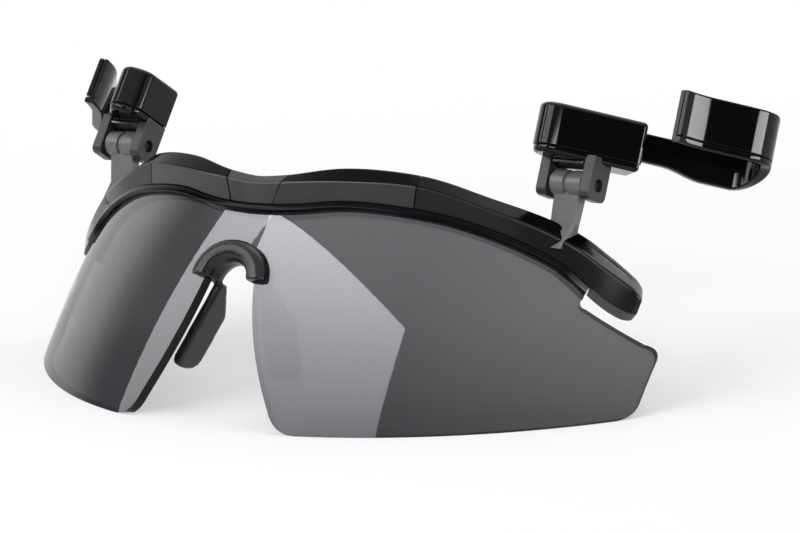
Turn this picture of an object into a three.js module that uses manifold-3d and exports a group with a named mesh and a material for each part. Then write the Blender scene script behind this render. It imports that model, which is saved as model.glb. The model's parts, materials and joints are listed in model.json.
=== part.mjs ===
// Cap clip sunglasses: one wrap-around lens under a brow bar, a soft nose piece, and two spring hooks that
// grip the edges of a cap's brim. The lens flips up and down on two hinge pins that share one line.
// Millimetres, +Z up, +Y towards the wearer. Left and right are the wearer's, so left is +X.
import * as THREE from "three";
import { mergeVertices } from "three/addons/utils/BufferGeometryUtils.js";
import Module from "manifold-3d";

const wasm = await Module();
wasm.setup();

// Fits
const SEAT_GAP = 0.3; // between pieces that are fixed together
const RUNNING_GAP = 0.2; // round the hinge pin, on the radius
const SIDE_PLAY = 0.3; // between the knuckle and each ear

// Lens: a patch of a toric surface, cut to an outline seen from the front
const LENS_HALF_WIDTH = 74.5;
const LENS_THICKNESS = 2;
const LENS_RADIUS_ACROSS = 110;
const LENS_RADIUS_DOWN = 189;
const LENS_AXIS_DROP = 81.5; // the surface's centre lies this far below the lens's lower edge
const LENS_AXIS_LEAN = 5.8; // degrees that the surface's axis leans forward
const LENS_FACET = 5; // edge length of the lens's facets
const NOSE_HALF_WIDTH = 6.2;
const NOSE_SHOULDER_HEIGHT = 25.6;
const NOSE_TOP_HEIGHT = 30.2;
const INNER_EDGE_BEND = [8.8, 15.5]; // control point of the curved edge beside the nose
const INNER_CORNER = [16, 4.3];
const LOWER_EDGE_START = 23; // the flat lower edge runs outwards from here
const OUTER_CORNER_RADIUS = 2.5;
const TIP_HEIGHT = 11;
const TIP_RADIUS = 2.2;
const NOTCH_X = 62.4; // where the lens leaves the brow at its outer end
const NOTCH_HEIGHT = 19.8;
const NOTCH_RADIUS = 1.1;

// Brow: its lower line along the lens, and what stands on that line
const BROW_LINE = [
  [0, 37],
  [10, 37.3],
  [20, 38],
  [30, 37.1],
  [40, 34.9],
  [50, 30.8],
  [60, 24.9],
  [72, 16.9],
];
const STATION_STEP = 3;
const TANGENT_REACH = 0.25; // to each side, for the line's direction
const RIM_LIP = 0.9;
const RIM_HEIGHT = 1.3;
const RIM_NECK = 0.5; // between the groove's ceiling and the top of the front lip
const WEB_THICKNESS = 1.8;
const WEB_SETBACK = 0.25; // of the web's front behind the groove's front wall
const LENS_SEAT_GAP = 0.3; // above the lens's edge in its groove
const BRIDGE_HALF_WIDTH = 5.2; // at the rim
const BRIDGE_FLARE = 0.5; // how much wider the bridge grows per millimetre of height
const OUTER_SEAM_X = 33;
const ARM_TIP_X = 69.6;
const CHIN_START_X = 62.9; // from here out the arm also takes the rim's place
const END_DROP = 4; // of the brow's underside below the lower line at its outer ends
const END_DROP_START = 55.5;
const END_DROP_END = 68.5;
const BROW_FRONT = 0.75; // the covers' lower front edge, ahead of the lens
const BROW_BACK = 3.4; // the covers' back, behind the lens's front face
const RIDGE_BACK = 2.4;
// x, then the front crease's and the ridge's places ahead of the lens and above the lower line
const BROW_PROFILE = [
  [0, 2, 5.4, 1, 7.2],
  [9, 2.6, 5.4, 1.6, 7.7],
  [20, 2.7, 4.7, 1.9, 8],
  [33, 2.7, 5.2, 1.8, 8.1],
  [44, 2.5, 4.4, 0.6, 7.6],
  [57, 2.4, 4.7, 0.4, 8.4],
  [63, 2.4, 3.5, -0.2, 7.4],
  [67.5, 2.3, 2, -0.3, 5.6],
  [70.6, 2, 0.2, -0.3, 3.6],
];

// Nose piece: a soft saddle over the nose cut-out, with two pads behind the lens
const SADDLE_FRONT = 1.7; // ahead of the lens
const SADDLE_BACK = 2; // behind the lens
const SADDLE_REACH_TOP = 1.9; // over the lens, away from the nose
const SADDLE_REACH_ENDS = 2.8;
const SADDLE_INSIDE = 1.6; // into the nose gap
const SADDLE_STEPS = 14;
const PAD_THICKNESS = 1.8;
const PAD_NECK = 2.2; // depth at the top
const PAD_DEPTH = 7.6; // depth at its widest
const PAD_LENGTH = 18;
const PAD_WIDE_FROM = 6; // below the neck
const PAD_SPLAY = 2; // degrees that the pads open towards the face
const PAD_INSET = 0.7; // of the pad's plane from the lens's inner edge, towards the nose
const PAD_TOP_RADIUS = 0.3;
const PAD_NECK_RADIUS = 0.5;
const PAD_WIDE_RADIUS = 2.5;
const PAD_LOW_RADIUS = 4;
const PAD_TOE_RADIUS = 2;

// Hinge: the pin's place over the brow, and the post that carries it
const HINGE_X = 56.6;
const PIN_SETBACK = 8;
const PIN_RISE = 14;
const PIN_RADIUS = 1;
const PIN_RECESS = 0.8; // of the pin's ends below the ears' faces
const KNUCKLE_RADIUS = 2.5;
const KNUCKLE_GROOVE_WIDTH = 0.9;
const KNUCKLE_GROOVE_DEPTH = 0.4;
const POST_THICKNESS = 2.6; // at the pin
const POST_WIDTH = 6.2;
const POST_FOOT = [-1.8, 4.6]; // the foot's place in the arm: ahead of the lens, above the lower line
const FOOT_INWARD = 1; // of the foot's middle, from straight below the pin's
const FOOT_THICKNESS = 2;
const FOOT_WIDTH = 5;
const TONGUE_WIDTH = 2; // a wedge on the post's outer half, let into the arm's front
const TONGUE_REACH = 2.95; // ahead of the post at the foot
const TONGUE_START = 0.62; // of the way from the pin to the foot

// Clip base: a plate with two ears
const EAR_THICKNESS = 2.2;
const EAR_SPACE = 7.9; // between the ears
const EAR_FRONT = 2.8;
const EAR_BACK = 2.8;
const EAR_DROP = 3;
const EAR_RADIUS = 1.5;
const BASE_THICKNESS = 1.2;
const BASE_HEIGHT = 4; // of the plate's underside above the pin
const BASE_INSET = 0.25; // of the plate under the housing
const LEAF_THICKNESS = 0.4;
const LEAF_LENGTH = 5.2;
const LEAF_SIDE_GAP = 0.4;

// Clip housing, laid out along the clip's long axis, which splays back from X
const CLIP_SPLAY = 50;
const HOUSING_FRONT = 5.4; // of the front face ahead of the pin
const HOUSING_START = 9; // of the inner end, inwards of the pin
const HOUSING_END = 11; // of the outer end beyond the pin
const HOUSING_END_DEPTH = 8.5;
const HOUSING_HEIGHT = 8;
const HOUSING_NOSE_RADIUS = 4; // where the front face turns into the inner end
const HOUSING_CHEEK_RADIUS = 3.8; // where the inner end meets the facet beside the inner ear
const HOUSING_EDGE = 0.9;
const LEAST_RADIUS = 0.2;
const HOUSING_WALL = 1;

// Brim hook: a flat strip that slides in the housing, turns round and comes back as a tab
const STRIP_THICKNESS = 2.2;
const STRIP_HEIGHT = 5.4;
const STRIP_SETBACK = 5.4; // of the strip's middle behind the housing's front
const STRIP_TAIL = 5.8; // the strip's end inside the housing, inwards of the pin
const SWELL_START = 16; // where the strip's lower edge swells
const SWELL_LENGTH = 8;
const SWELL_DEPTH = 1.3;
const TURN_RADIUS = 4.9;
const TURN_CENTRE = 29.2;
const TURN_STEPS = 10;
const CLIMB_STEPS = 7; // of those steps, how many the lower edge takes to climb
const TAB_HEIGHT = 9.9;
const TAB_RISE = 3.3; // of the tab's lower edge above the strip's
const TAB_END = 14.9; // the tab's free end, beyond the pin
const TAB_BEND = 21; // where the tab starts to flare
const TAB_FLARE = 1.8;
const COVER_THICKNESS = 0.9;
const COVER_GAP = 0.25;
const COVER_SEAM = 1.2; // of the seam above the tab's lower edge
const LUG_LENGTH = 1.5;
const HOOK_TRAVEL = 8;

// Return spring
const SPRING_RADIUS = 1.1;
const SPRING_WIRE = 0.4;
const SPRING_CURLS = 8;
const CURL_STEPS = 8;
const WIRE_SIDES = 5;

// Rest angles: how far each clip leans back from upright
const SIDES = [
  { name: "left", sign: 1, lean: 25 },
  { name: "right", sign: -1, lean: 36.5 },
];

const ROUND_SIDES = 20;
const SEARCH_PASSES = 60; // of each step-by-step search for a place

const materials = {
  lens: new THREE.MeshStandardMaterial({ color: 0x55575c, roughness: 0.08, metalness: 0.1 }),
  gloss: new THREE.MeshStandardMaterial({ color: 0x0c0c0d, roughness: 0.15, metalness: 0 }),
  satin: new THREE.MeshStandardMaterial({ color: 0x2c2d30, roughness: 0.45, metalness: 0 }),
  rubber: new THREE.MeshStandardMaterial({ color: 0x1b1b1c, roughness: 0.7, metalness: 0 }),
  post: new THREE.MeshStandardMaterial({ color: 0x4a4b4d, roughness: 0.4, metalness: 0 }),
  steel: new THREE.MeshStandardMaterial({ color: 0xb9bcc0, roughness: 0.3, metalness: 1 }),
};

const radians = THREE.MathUtils.degToRad;
const vec = (x, y, z) => new THREE.Vector3(x, y, z);

// Solids and meshes

function solidOf(geometry) {
  const bare = geometry.clone();
  bare.deleteAttribute("normal");
  bare.deleteAttribute("uv");
  const merged = mergeVertices(bare, 1e-4);
  const vertProperties = new Float32Array(merged.attributes.position.array);
  const triVerts = new Uint32Array(merged.index.array);
  const made = new wasm.Manifold(new wasm.Mesh({ numProp: 3, vertProperties, triVerts }));
  if (made.volume() >= 0) return made;
  triVerts.reverse(); // the profile ran the other way round, so its faces are turned out
  return new wasm.Manifold(new wasm.Mesh({ numProp: 3, vertProperties, triVerts }));
}

function geometryOf(solid) {
  const mesh = solid.getMesh();
  const geometry = new THREE.BufferGeometry();
  geometry.setAttribute("position", new THREE.BufferAttribute(mesh.vertProperties, mesh.numProp));
  geometry.setIndex(new THREE.BufferAttribute(mesh.triVerts, 1));
  return geometry;
}

function piece(name, solid, material) {
  const mesh = new THREE.Mesh(geometryOf(solid), material);
  mesh.name = name;
  return mesh;
}

// A closed skin over rings of points that all have as many points, in the same order.
// outline is one ring drawn flat, from which the two ends are filled.
function loft(rings, outline) {
  const count = rings[0].length;
  const index = [];
  for (let r = 0; r + 1 < rings.length; r += 1) {
    for (let k = 0; k < count; k += 1) {
      const here = r * count + k;
      const next = r * count + ((k + 1) % count);
      index.push(here, next, next + count, here, next + count, here + count);
    }
  }
  const last = (rings.length - 1) * count;
  for (const [a, b, c] of THREE.ShapeUtils.triangulateShape(outline, [])) {
    index.push(c, b, a, last + a, last + b, last + c);
  }
  const geometry = new THREE.BufferGeometry().setFromPoints(rings.flat());
  geometry.setIndex(index);
  return solidOf(geometry);
}

const flat = (pairs) => pairs.map(([x, y]) => new THREE.Vector2(x, y));

// A shape with a fillet at each corner, given as [x, y, radius]
function filletedShape(corners) {
  const shape = new THREE.Shape();
  corners.forEach(([x, y, radius], i) => {
    const corner = new THREE.Vector2(x, y);
    const [px, py] = corners.at(i - 1);
    const [nx, ny] = corners[(i + 1) % corners.length];
    const back = new THREE.Vector2(px - x, py - y).normalize();
    const on = new THREE.Vector2(nx - x, ny - y).normalize();
    const reach = radius / Math.tan(Math.acos(back.dot(on)) / 2);
    const start = corner.clone().addScaledVector(back, reach);
    const end = corner.clone().addScaledVector(on, reach);
    if (i === 0) shape.moveTo(start.x, start.y);
    else shape.lineTo(start.x, start.y);
    shape.quadraticCurveTo(x, y, end.x, end.y);
  });
  shape.closePath();
  return shape;
}

function extrude(shape, depth, options = {}) {
  return new THREE.ExtrudeGeometry(shape, { depth, bevelEnabled: false, curveSegments: 5, ...options });
}

// A rod along X through the origin
function rodAlongX(radius, length) {
  return solidOf(new THREE.CylinderGeometry(radius, radius, length, ROUND_SIDES).rotateZ(Math.PI / 2));
}

function block(low, high) {
  const size = high.clone().sub(low);
  const middle = high.clone().add(low).multiplyScalar(0.5);
  return solidOf(new THREE.BoxGeometry(size.x, size.y, size.z).translate(middle.x, middle.y, middle.z));
}

// The lens's surface

const LEAN = radians(LENS_AXIS_LEAN);
const TUBE_OFFSET = LENS_RADIUS_ACROSS - LENS_RADIUS_DOWN;

// The point of the lens's front face at a place seen from the front
function lensPoint(x, z) {
  const rise = z + LENS_AXIS_DROP;
  let y = 0;
  for (let pass = 0; pass < SEARCH_PASSES; pass += 1) {
    const height = rise * Math.cos(LEAN) - y * Math.sin(LEAN);
    const radius = TUBE_OFFSET + Math.sqrt(LENS_RADIUS_DOWN ** 2 - height ** 2);
    y = (-Math.sqrt(radius ** 2 - x ** 2) - rise * Math.sin(LEAN)) / Math.cos(LEAN);
  }
  return vec(x, y, z);
}

function lensNormal(point) {
  const local = vec(point.x, point.y, point.z + LENS_AXIS_DROP).applyAxisAngle(vec(1, 0, 0), -LEAN);
  const ring = vec(local.x, local.y, 0).setLength(TUBE_OFFSET);
  return local.sub(ring).applyAxisAngle(vec(1, 0, 0), LEAN).normalize();
}

// The brow's own measure: x along the lower line, forward from the lens, up along it

const browCurve = new THREE.SplineCurve(
  flat([...BROW_LINE.slice(1).map(([x, z]) => [-x, z]).reverse(), ...BROW_LINE]),
);

function browHeight(x) {
  let low = 0;
  let high = 1;
  for (let pass = 0; pass < SEARCH_PASSES; pass += 1) {
    const middle = (low + high) / 2;
    if (browCurve.getPoint(middle).x < x) low = middle;
    else high = middle;
  }
  return browCurve.getPoint(low).y;
}

function browPoint(x, forward, up) {
  const onLine = (place) => lensPoint(place, browHeight(place));
  const here = onLine(x);
  const tangent = onLine(x + TANGENT_REACH).sub(onLine(x - TANGENT_REACH)).normalize();
  const normal = lensNormal(here);
  const out = normal.addScaledVector(tangent, -normal.dot(tangent)).normalize();
  const rise = out.clone().cross(tangent);
  return here.addScaledVector(out, forward).addScaledVector(rise, up);
}

// How far the brow's underside lies below the lower line's curve, as a height along the brow
function endDrop(x) {
  return -END_DROP * THREE.MathUtils.smoothstep(Math.abs(x), END_DROP_START, END_DROP_END);
}

function stations(from, to) {
  const steps = Math.ceil(Math.abs(to - from) / STATION_STEP);
  return Array.from({ length: steps + 1 }, (_, i) => from + ((to - from) * i) / steps);
}

// A bar along the brow. section(x) gives the ring's [forward, up] points; skew(x, up) shifts them along x.
function browBar(places, section, skew = () => 0) {
  const rings = places.map((x) => section(x).map(([f, u]) => browPoint(x + skew(x, u), f, u)));
  return loft(rings, flat(section(places[0])));
}

function browProfile(x) {
  const place = Math.min(Math.abs(x), BROW_PROFILE.at(-1)[0]);
  const next = BROW_PROFILE.findIndex((row, i) => i > 0 && place <= row[0]);
  const [a, b] = [BROW_PROFILE[next - 1], BROW_PROFILE[next]];
  const share = (place - a[0]) / (b[0] - a[0]);
  const places = a.slice(1).map((value, i) => value + (b[i + 1] - value) * share);
  const [creaseForward, creaseUp, ridgeForward, ridgeUp] = places;
  return { creaseForward, creaseUp, ridgeForward, ridgeUp };
}

const GROOVE_FRONT = SEAT_GAP;
const GROOVE_BACK = -LENS_THICKNESS - SEAT_GAP;
const GROOVE_DEPTH = RIM_HEIGHT - RIM_NECK;
const LENS_SEAT = GROOVE_DEPTH - LENS_SEAT_GAP;
const WEB_FRONT = GROOVE_FRONT - WEB_SETBACK;
const WEB_TOP = GROOVE_DEPTH + WEB_THICKNESS;
const COVER_LOW = RIM_HEIGHT + SEAT_GAP;
const COVER_SEAT = WEB_TOP + SEAT_GAP;
const COVER_INSIDE = WEB_FRONT + SEAT_GAP;
const RIM_END_X = CHIN_START_X - SEAT_GAP;

function makeLens() {
  const half = new THREE.Path();
  half.moveTo(0, NOSE_TOP_HEIGHT);
  const noseRise = NOSE_TOP_HEIGHT - NOSE_SHOULDER_HEIGHT;
  half.absellipse(0, NOSE_SHOULDER_HEIGHT, NOSE_HALF_WIDTH, noseRise, Math.PI / 2, 0, true);
  half.quadraticCurveTo(...INNER_EDGE_BEND, ...INNER_CORNER);
  half.quadraticCurveTo(INNER_CORNER[0] + INNER_CORNER[1] / 2, 0, LOWER_EDGE_START, 0);
  half.lineTo(LENS_HALF_WIDTH - OUTER_CORNER_RADIUS, 0);
  half.quadraticCurveTo(LENS_HALF_WIDTH, 0, LENS_HALF_WIDTH, OUTER_CORNER_RADIUS);
  half.lineTo(LENS_HALF_WIDTH, TIP_HEIGHT - TIP_RADIUS);
  const tipInside = LENS_HALF_WIDTH - TIP_RADIUS;
  half.quadraticCurveTo(LENS_HALF_WIDTH, TIP_HEIGHT, tipInside, TIP_HEIGHT + TIP_RADIUS / 2);
  half.lineTo(NOTCH_X + NOTCH_RADIUS, NOTCH_HEIGHT - NOTCH_RADIUS / 2);
  half.quadraticCurveTo(NOTCH_X, NOTCH_HEIGHT, NOTCH_X, NOTCH_HEIGHT + NOTCH_RADIUS);
  const inside = BROW_LINE.filter(([x]) => x < NOTCH_X).reverse();
  for (const [x, z] of inside) half.lineTo(x, z + WEB_TOP);
  const right = half.getPoints(6);
  const left = right.slice(1, -1).reverse().map((p) => new THREE.Vector2(-p.x, p.y));
  const plate = solidOf(extrude(new THREE.Shape([...right, ...left]), LENS_THICKNESS));
  const floorCorner = vec(-LENS_HALF_WIDTH, -LENS_RADIUS_ACROSS, -OUTER_CORNER_RADIUS);
  const floor = block(floorCorner, vec(LENS_HALF_WIDTH, 0, 0));
  return bentOntoLens(plate.refineToLength(LENS_FACET)).subtract(aboveSeat()).subtract(floor);
}

// A flat plate's points moved onto the lens: x and y are a place seen from the front, z the depth behind it
function bentOntoLens(plate) {
  const geometry = geometryOf(plate);
  const points = geometry.attributes.position;
  for (let i = 0; i < points.count; i += 1) {
    const point = lensPoint(points.getX(i), points.getY(i));
    point.addScaledVector(lensNormal(point), -points.getZ(i));
    points.setXYZ(i, point.x, point.y, point.z);
  }
  return solidOf(geometry);
}

// All that lies above the lens's upper edge, cut square to the lens
function aboveSeat() {
  const thick = 3 * LENS_THICKNESS;
  const high = LENS_SEAT + NOTCH_HEIGHT;
  const section = (x) => {
    const seat = LENS_SEAT + endDrop(x);
    return [[-thick, seat], [thick, seat], [thick, high], [-thick, high]];
  };
  return browBar(stations(-ARM_TIP_X, ARM_TIP_X), section);
}

function makeRim() {
  const corners = [
    [GROOVE_BACK - RIM_LIP, 0],
    [GROOVE_BACK, 0],
    [GROOVE_BACK, GROOVE_DEPTH],
    [GROOVE_FRONT, GROOVE_DEPTH],
    [GROOVE_FRONT, 0],
    [GROOVE_FRONT + RIM_LIP, 0],
    [GROOVE_FRONT + RIM_LIP, RIM_HEIGHT],
    [WEB_FRONT, RIM_HEIGHT],
    [WEB_FRONT, WEB_TOP],
    [GROOVE_BACK - RIM_LIP, WEB_TOP],
  ];
  const section = (x) => corners.map(([f, u]) => [f, u + endDrop(x)]);
  return browBar(stations(-RIM_END_X, RIM_END_X), section);
}

function coverSection(x) {
  const { creaseForward, creaseUp, ridgeForward, ridgeUp } = browProfile(x);
  const low = COVER_LOW + endDrop(x);
  const seat = Math.abs(x) < CHIN_START_X ? COVER_SEAT + endDrop(x) : low;
  return [
    [BROW_FRONT, low],
    [creaseForward, creaseUp],
    [ridgeForward, ridgeUp],
    [-RIDGE_BACK, ridgeUp - SEAT_GAP],
    [-BROW_BACK, Math.min(creaseUp, ridgeUp - RIM_LIP)],
    [-BROW_BACK, seat],
    [COVER_INSIDE, seat],
    [COVER_INSIDE, low],
  ];
}

function makeBridge() {
  const skew = (x, up) => (BRIDGE_FLARE * (up - COVER_LOW) * x) / BRIDGE_HALF_WIDTH;
  return browBar(stations(-BRIDGE_HALF_WIDTH, BRIDGE_HALF_WIDTH), coverSection, skew);
}

function makeCover() {
  const start = BRIDGE_HALF_WIDTH + SEAT_GAP;
  const end = OUTER_SEAM_X - SEAT_GAP / 2;
  const skew = (x, up) => (BRIDGE_FLARE * (up - COVER_LOW) * (end - x)) / (end - start);
  return browBar(stations(start, end), coverSection, skew);
}

function makeArm(post) {
  const inner = stations(OUTER_SEAM_X + SEAT_GAP / 2, CHIN_START_X - SEAT_GAP / 2);
  const outer = stations(CHIN_START_X, ARM_TIP_X);
  return browBar([...inner, ...outer], coverSection).subtract(post);
}

// The nose piece follows the nose cut-out's arch: out from the lens, and away from the nose

function noseArch(angle, forward, away) {
  const x = NOSE_HALF_WIDTH * Math.cos(angle);
  const z = NOSE_SHOULDER_HEIGHT + (NOSE_TOP_HEIGHT - NOSE_SHOULDER_HEIGHT) * Math.sin(angle);
  const side = new THREE.Vector2(Math.cos(angle), Math.sin(angle)).multiplyScalar(away);
  const point = lensPoint(x + side.x, z + side.y);
  return point.addScaledVector(lensNormal(point), forward);
}

function makeNosePiece() {
  const front = SEAT_GAP;
  const back = -LENS_THICKNESS - SEAT_GAP;
  const section = (angle) => {
    const reach = THREE.MathUtils.lerp(SADDLE_REACH_TOP, SADDLE_REACH_ENDS, Math.cos(angle) ** 2);
    return [
      [front + SADDLE_FRONT, -SADDLE_INSIDE / 2],
      [front + SADDLE_FRONT, reach / 2],
      [front + SADDLE_FRONT / 2, reach],
      [front, reach],
      [front, -SEAT_GAP],
      [back, -SEAT_GAP],
      [back, reach],
      [back - SADDLE_BACK, reach / 2],
      [back - SADDLE_BACK, -SADDLE_INSIDE / 2],
      [back, -SADDLE_INSIDE],
      [front, -SADDLE_INSIDE],
    ];
  };
  const rings = Array.from({ length: SADDLE_STEPS + 1 }, (_, i) => {
    const angle = (Math.PI * i) / SADDLE_STEPS;
    return section(angle).map(([f, r]) => noseArch(angle, f, r));
  });
  return loft(rings, flat(section(0))).add(makePad(1)).add(makePad(-1));
}

// A pad is a thin wing behind the lens's inner edge, deeper in the middle than at its neck
function makePad(sign) {
  const outline = filletedShape([
    [0, 0, PAD_TOP_RADIUS],
    [PAD_NECK, 0, PAD_NECK_RADIUS],
    [PAD_DEPTH, PAD_WIDE_FROM, PAD_WIDE_RADIUS],
    [PAD_DEPTH, PAD_LENGTH, PAD_LOW_RADIUS],
    [0, PAD_LENGTH, PAD_TOE_RADIUS],
  ]);
  const wing = extrude(outline, PAD_THICKNESS).translate(0, 0, -PAD_THICKNESS / 2);
  const top = lensPoint(NOSE_HALF_WIDTH, NOSE_SHOULDER_HEIGHT);
  const low = lensPoint(...INNER_CORNER);
  const down = low.sub(top).normalize();
  const splay = radians(PAD_SPLAY);
  const deep = vec(Math.sin(splay), Math.cos(splay), 0);
  deep.addScaledVector(down, -deep.dot(down)).normalize();
  const across = deep.clone().cross(down);
  const behind = LENS_THICKNESS + SEAT_GAP + PAD_THICKNESS / 2;
  const origin = top.addScaledVector(lensNormal(top), -behind).add(vec(-PAD_INSET, 0, 0));
  const place = new THREE.Matrix4().makeBasis(deep, down, across).setPosition(origin);
  return solidOf(wing.applyMatrix4(place).scale(sign, 1, 1));
}

// The hinge pin's middle, and a post from it down into the arm

const pinBase = lensPoint(HINGE_X, browHeight(HINGE_X));
const pinPlace = vec(HINGE_X, pinBase.y + PIN_SETBACK, pinBase.z + PIN_RISE);
const YOKE_HALF = EAR_SPACE / 2 + EAR_THICKNESS;
const BORE_RADIUS = PIN_RADIUS + RUNNING_GAP;

// The place inside the arm, below the pin's middle and a little inwards, that the post's foot stands on
function footPlace() {
  const footX = HINGE_X - FOOT_INWARD;
  let low = HINGE_X - PIN_RISE;
  let high = HINGE_X + PIN_RISE;
  for (let pass = 0; pass < SEARCH_PASSES; pass += 1) {
    const middle = (low + high) / 2;
    if (browPoint(middle, ...POST_FOOT).x < footX) low = middle;
    else high = middle;
  }
  return browPoint(low, ...POST_FOOT);
}

// The post's half width and half thickness at a share of the way from the pin to the foot
function postHalves(share) {
  const width = THREE.MathUtils.lerp(POST_WIDTH, FOOT_WIDTH, share);
  const thickness = THREE.MathUtils.lerp(POST_THICKNESS, FOOT_THICKNESS, share);
  return [width / 2, thickness / 2];
}

// A bar along the post, grown by gap. Each end gives its share of the way, its sides, its back and its front.
function postBar(ends, gap) {
  const way = footPlace().sub(pinPlace);
  const ahead = vec(0, way.z, -way.y).normalize();
  const rings = ends.map(([share, left, right, back, front]) => {
    const middle = pinPlace.clone().addScaledVector(way, share < 1 ? share : 1 + gap / way.length());
    const corners = [
      [left - gap, back - gap],
      [right + gap, back - gap],
      [right + gap, front + gap],
      [left - gap, front + gap],
    ];
    return corners.map(([x, f]) => middle.clone().add(vec(x, 0, 0)).addScaledVector(ahead, f));
  });
  return loft(rings, flat([[0, 0], [1, 0], [1, 1], [0, 1]]));
}

// The post's leg and the tongue on its front, which together also cut their seat in the arm
function postLeg(gap) {
  const legEnd = (share) => {
    const [width, thickness] = postHalves(share);
    return [share, -width, width, -thickness, thickness];
  };
  const tongueEnd = (share, reach) => {
    const [width, thickness] = postHalves(share);
    return [share, width - TONGUE_WIDTH, width, -thickness, thickness + reach];
  };
  const leg = postBar([legEnd(0), legEnd(1)], gap);
  return leg.add(postBar([tongueEnd(TONGUE_START, 0), tongueEnd(1, TONGUE_REACH)], gap));
}

function makePost() {
  const half = EAR_SPACE / 2 - SIDE_PLAY;
  const groove = KNUCKLE_GROOVE_WIDTH / 2;
  const waist = KNUCKLE_RADIUS - KNUCKLE_GROOVE_DEPTH;
  const profile = flat([
    [0, -half],
    [KNUCKLE_RADIUS, -half],
    [KNUCKLE_RADIUS, -groove],
    [waist, -groove],
    [waist, groove],
    [KNUCKLE_RADIUS, groove],
    [KNUCKLE_RADIUS, half],
    [0, half],
  ]);
  const knuckle = new THREE.LatheGeometry(profile, ROUND_SIDES).rotateZ(-Math.PI / 2);
  const solid = solidOf(knuckle.translate(pinPlace.x, pinPlace.y, pinPlace.z)).add(postLeg(0));
  const bore = rodAlongX(BORE_RADIUS, EAR_SPACE * 2).translate([pinPlace.x, pinPlace.y, pinPlace.z]);
  return solid.subtract(bore);
}

// The clip, drawn upright round the pin's middle: x outwards along the pin, y back, z up

const SPLAY = radians(CLIP_SPLAY);

// A place along the clip's long axis and ahead of it
function onClip(along, ahead) {
  const x = along * Math.cos(SPLAY) + ahead * Math.sin(SPLAY);
  const y = along * Math.sin(SPLAY) - ahead * Math.cos(SPLAY);
  return [x, y];
}

// The housing's outline from above, drawn in by inset
function housingOutline(inset) {
  const facet = -YOKE_HALF + inset;
  const front = HOUSING_FRONT - inset;
  const start = -HOUSING_START + inset;
  const end = HOUSING_END - inset;
  const endBack = HOUSING_FRONT - HOUSING_END_DEPTH + inset;
  const facetFront = (facet - start * Math.cos(SPLAY)) / Math.sin(SPLAY);
  const edge = Math.max(HOUSING_EDGE - inset, LEAST_RADIUS);
  return filletedShape([
    [...onClip(start, facetFront), HOUSING_CHEEK_RADIUS - inset],
    [...onClip(start, front), HOUSING_NOSE_RADIUS - inset],
    [...onClip(end, front), edge],
    [...onClip(end, endBack), edge],
    [facet, EAR_BACK - inset, edge],
  ]);
}

// A box laid along the clip's long axis
function clipBox(along, ahead, up) {
  const box = block(vec(along[0], -ahead[1], up[0]), vec(along[1], -ahead[0], up[1]));
  return box.rotate([0, 0, CLIP_SPLAY]);
}

const HOUSING_BASE = BASE_HEIGHT + BASE_THICKNESS + SEAT_GAP;
const STRIP_AHEAD = HOUSING_FRONT - STRIP_SETBACK;
const STRIP_LOW = HOUSING_BASE + (HOUSING_HEIGHT - STRIP_HEIGHT) / 2;
const STRIP_HIGH = STRIP_LOW + STRIP_HEIGHT;
const STRIP_FRONT = STRIP_AHEAD + STRIP_THICKNESS / 2;
const STRIP_BACK = STRIP_AHEAD - STRIP_THICKNESS / 2;
const CAVITY_FRONT = HOUSING_FRONT - HOUSING_WALL;
const CAVITY_END = HOUSING_END - HOUSING_WALL - HOUSING_EDGE;

function makeBase() {
  const plate = solidOf(extrude(housingOutline(BASE_INSET), BASE_THICKNESS).translate(0, 0, BASE_HEIGHT));
  const earTop = BASE_HEIGHT + BASE_THICKNESS;
  const ear = filletedShape([
    [-EAR_FRONT, earTop, LEAST_RADIUS],
    [-EAR_FRONT, -EAR_DROP, EAR_RADIUS],
    [EAR_BACK, -EAR_DROP, EAR_RADIUS],
    [EAR_BACK, earTop, LEAST_RADIUS],
  ]);
  const ears = [-YOKE_HALF, EAR_SPACE / 2].map((x) => {
    const upright = extrude(ear, EAR_THICKNESS).rotateX(Math.PI / 2).rotateZ(Math.PI / 2);
    return solidOf(upright.translate(x, 0, 0));
  });
  return plate.add(ears[0]).add(ears[1]).subtract(rodAlongX(BORE_RADIUS, 4 * YOKE_HALF));
}

function makeHousing() {
  const edge = { bevelSize: HOUSING_EDGE, bevelThickness: HOUSING_EDGE, bevelSegments: 2 };
  const depth = HOUSING_HEIGHT - 2 * HOUSING_EDGE;
  const body = extrude(housingOutline(HOUSING_EDGE), depth, { bevelEnabled: true, ...edge });
  body.translate(0, 0, HOUSING_BASE + HOUSING_EDGE);
  const up = [STRIP_LOW - SEAT_GAP, STRIP_HIGH + SEAT_GAP];
  const cavity = clipBox([-STRIP_TAIL - SEAT_GAP, CAVITY_END], [STRIP_BACK - SEAT_GAP, CAVITY_FRONT], up);
  const mouth = clipBox([0, HOUSING_END * 2], [STRIP_BACK - SEAT_GAP, STRIP_FRONT + SEAT_GAP], up);
  return solidOf(body).subtract(cavity).subtract(mouth);
}

// The hook's middle line from its tail to the tab's free end, as [along, ahead]
function hookLine() {
  const shares = [0, 0.25, 0.5, 0.75, 1];
  const line = [[-STRIP_TAIL, STRIP_AHEAD]];
  for (const k of shares) line.push([SWELL_START + SWELL_LENGTH * k, STRIP_AHEAD]);
  const turnStart = line.length;
  for (let i = 0; i <= TURN_STEPS; i += 1) {
    const angle = (Math.PI * i) / TURN_STEPS;
    const ahead = STRIP_AHEAD + TURN_RADIUS * (1 - Math.cos(angle));
    line.push([TURN_CENTRE + TURN_RADIUS * Math.sin(angle), ahead]);
  }
  const tabAhead = STRIP_AHEAD + 2 * TURN_RADIUS;
  for (const k of shares) {
    line.push([TAB_BEND + (TAB_END - TAB_BEND) * k, tabAhead + TAB_FLARE * k ** 2]);
  }
  return { line, turnStart };
}

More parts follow.
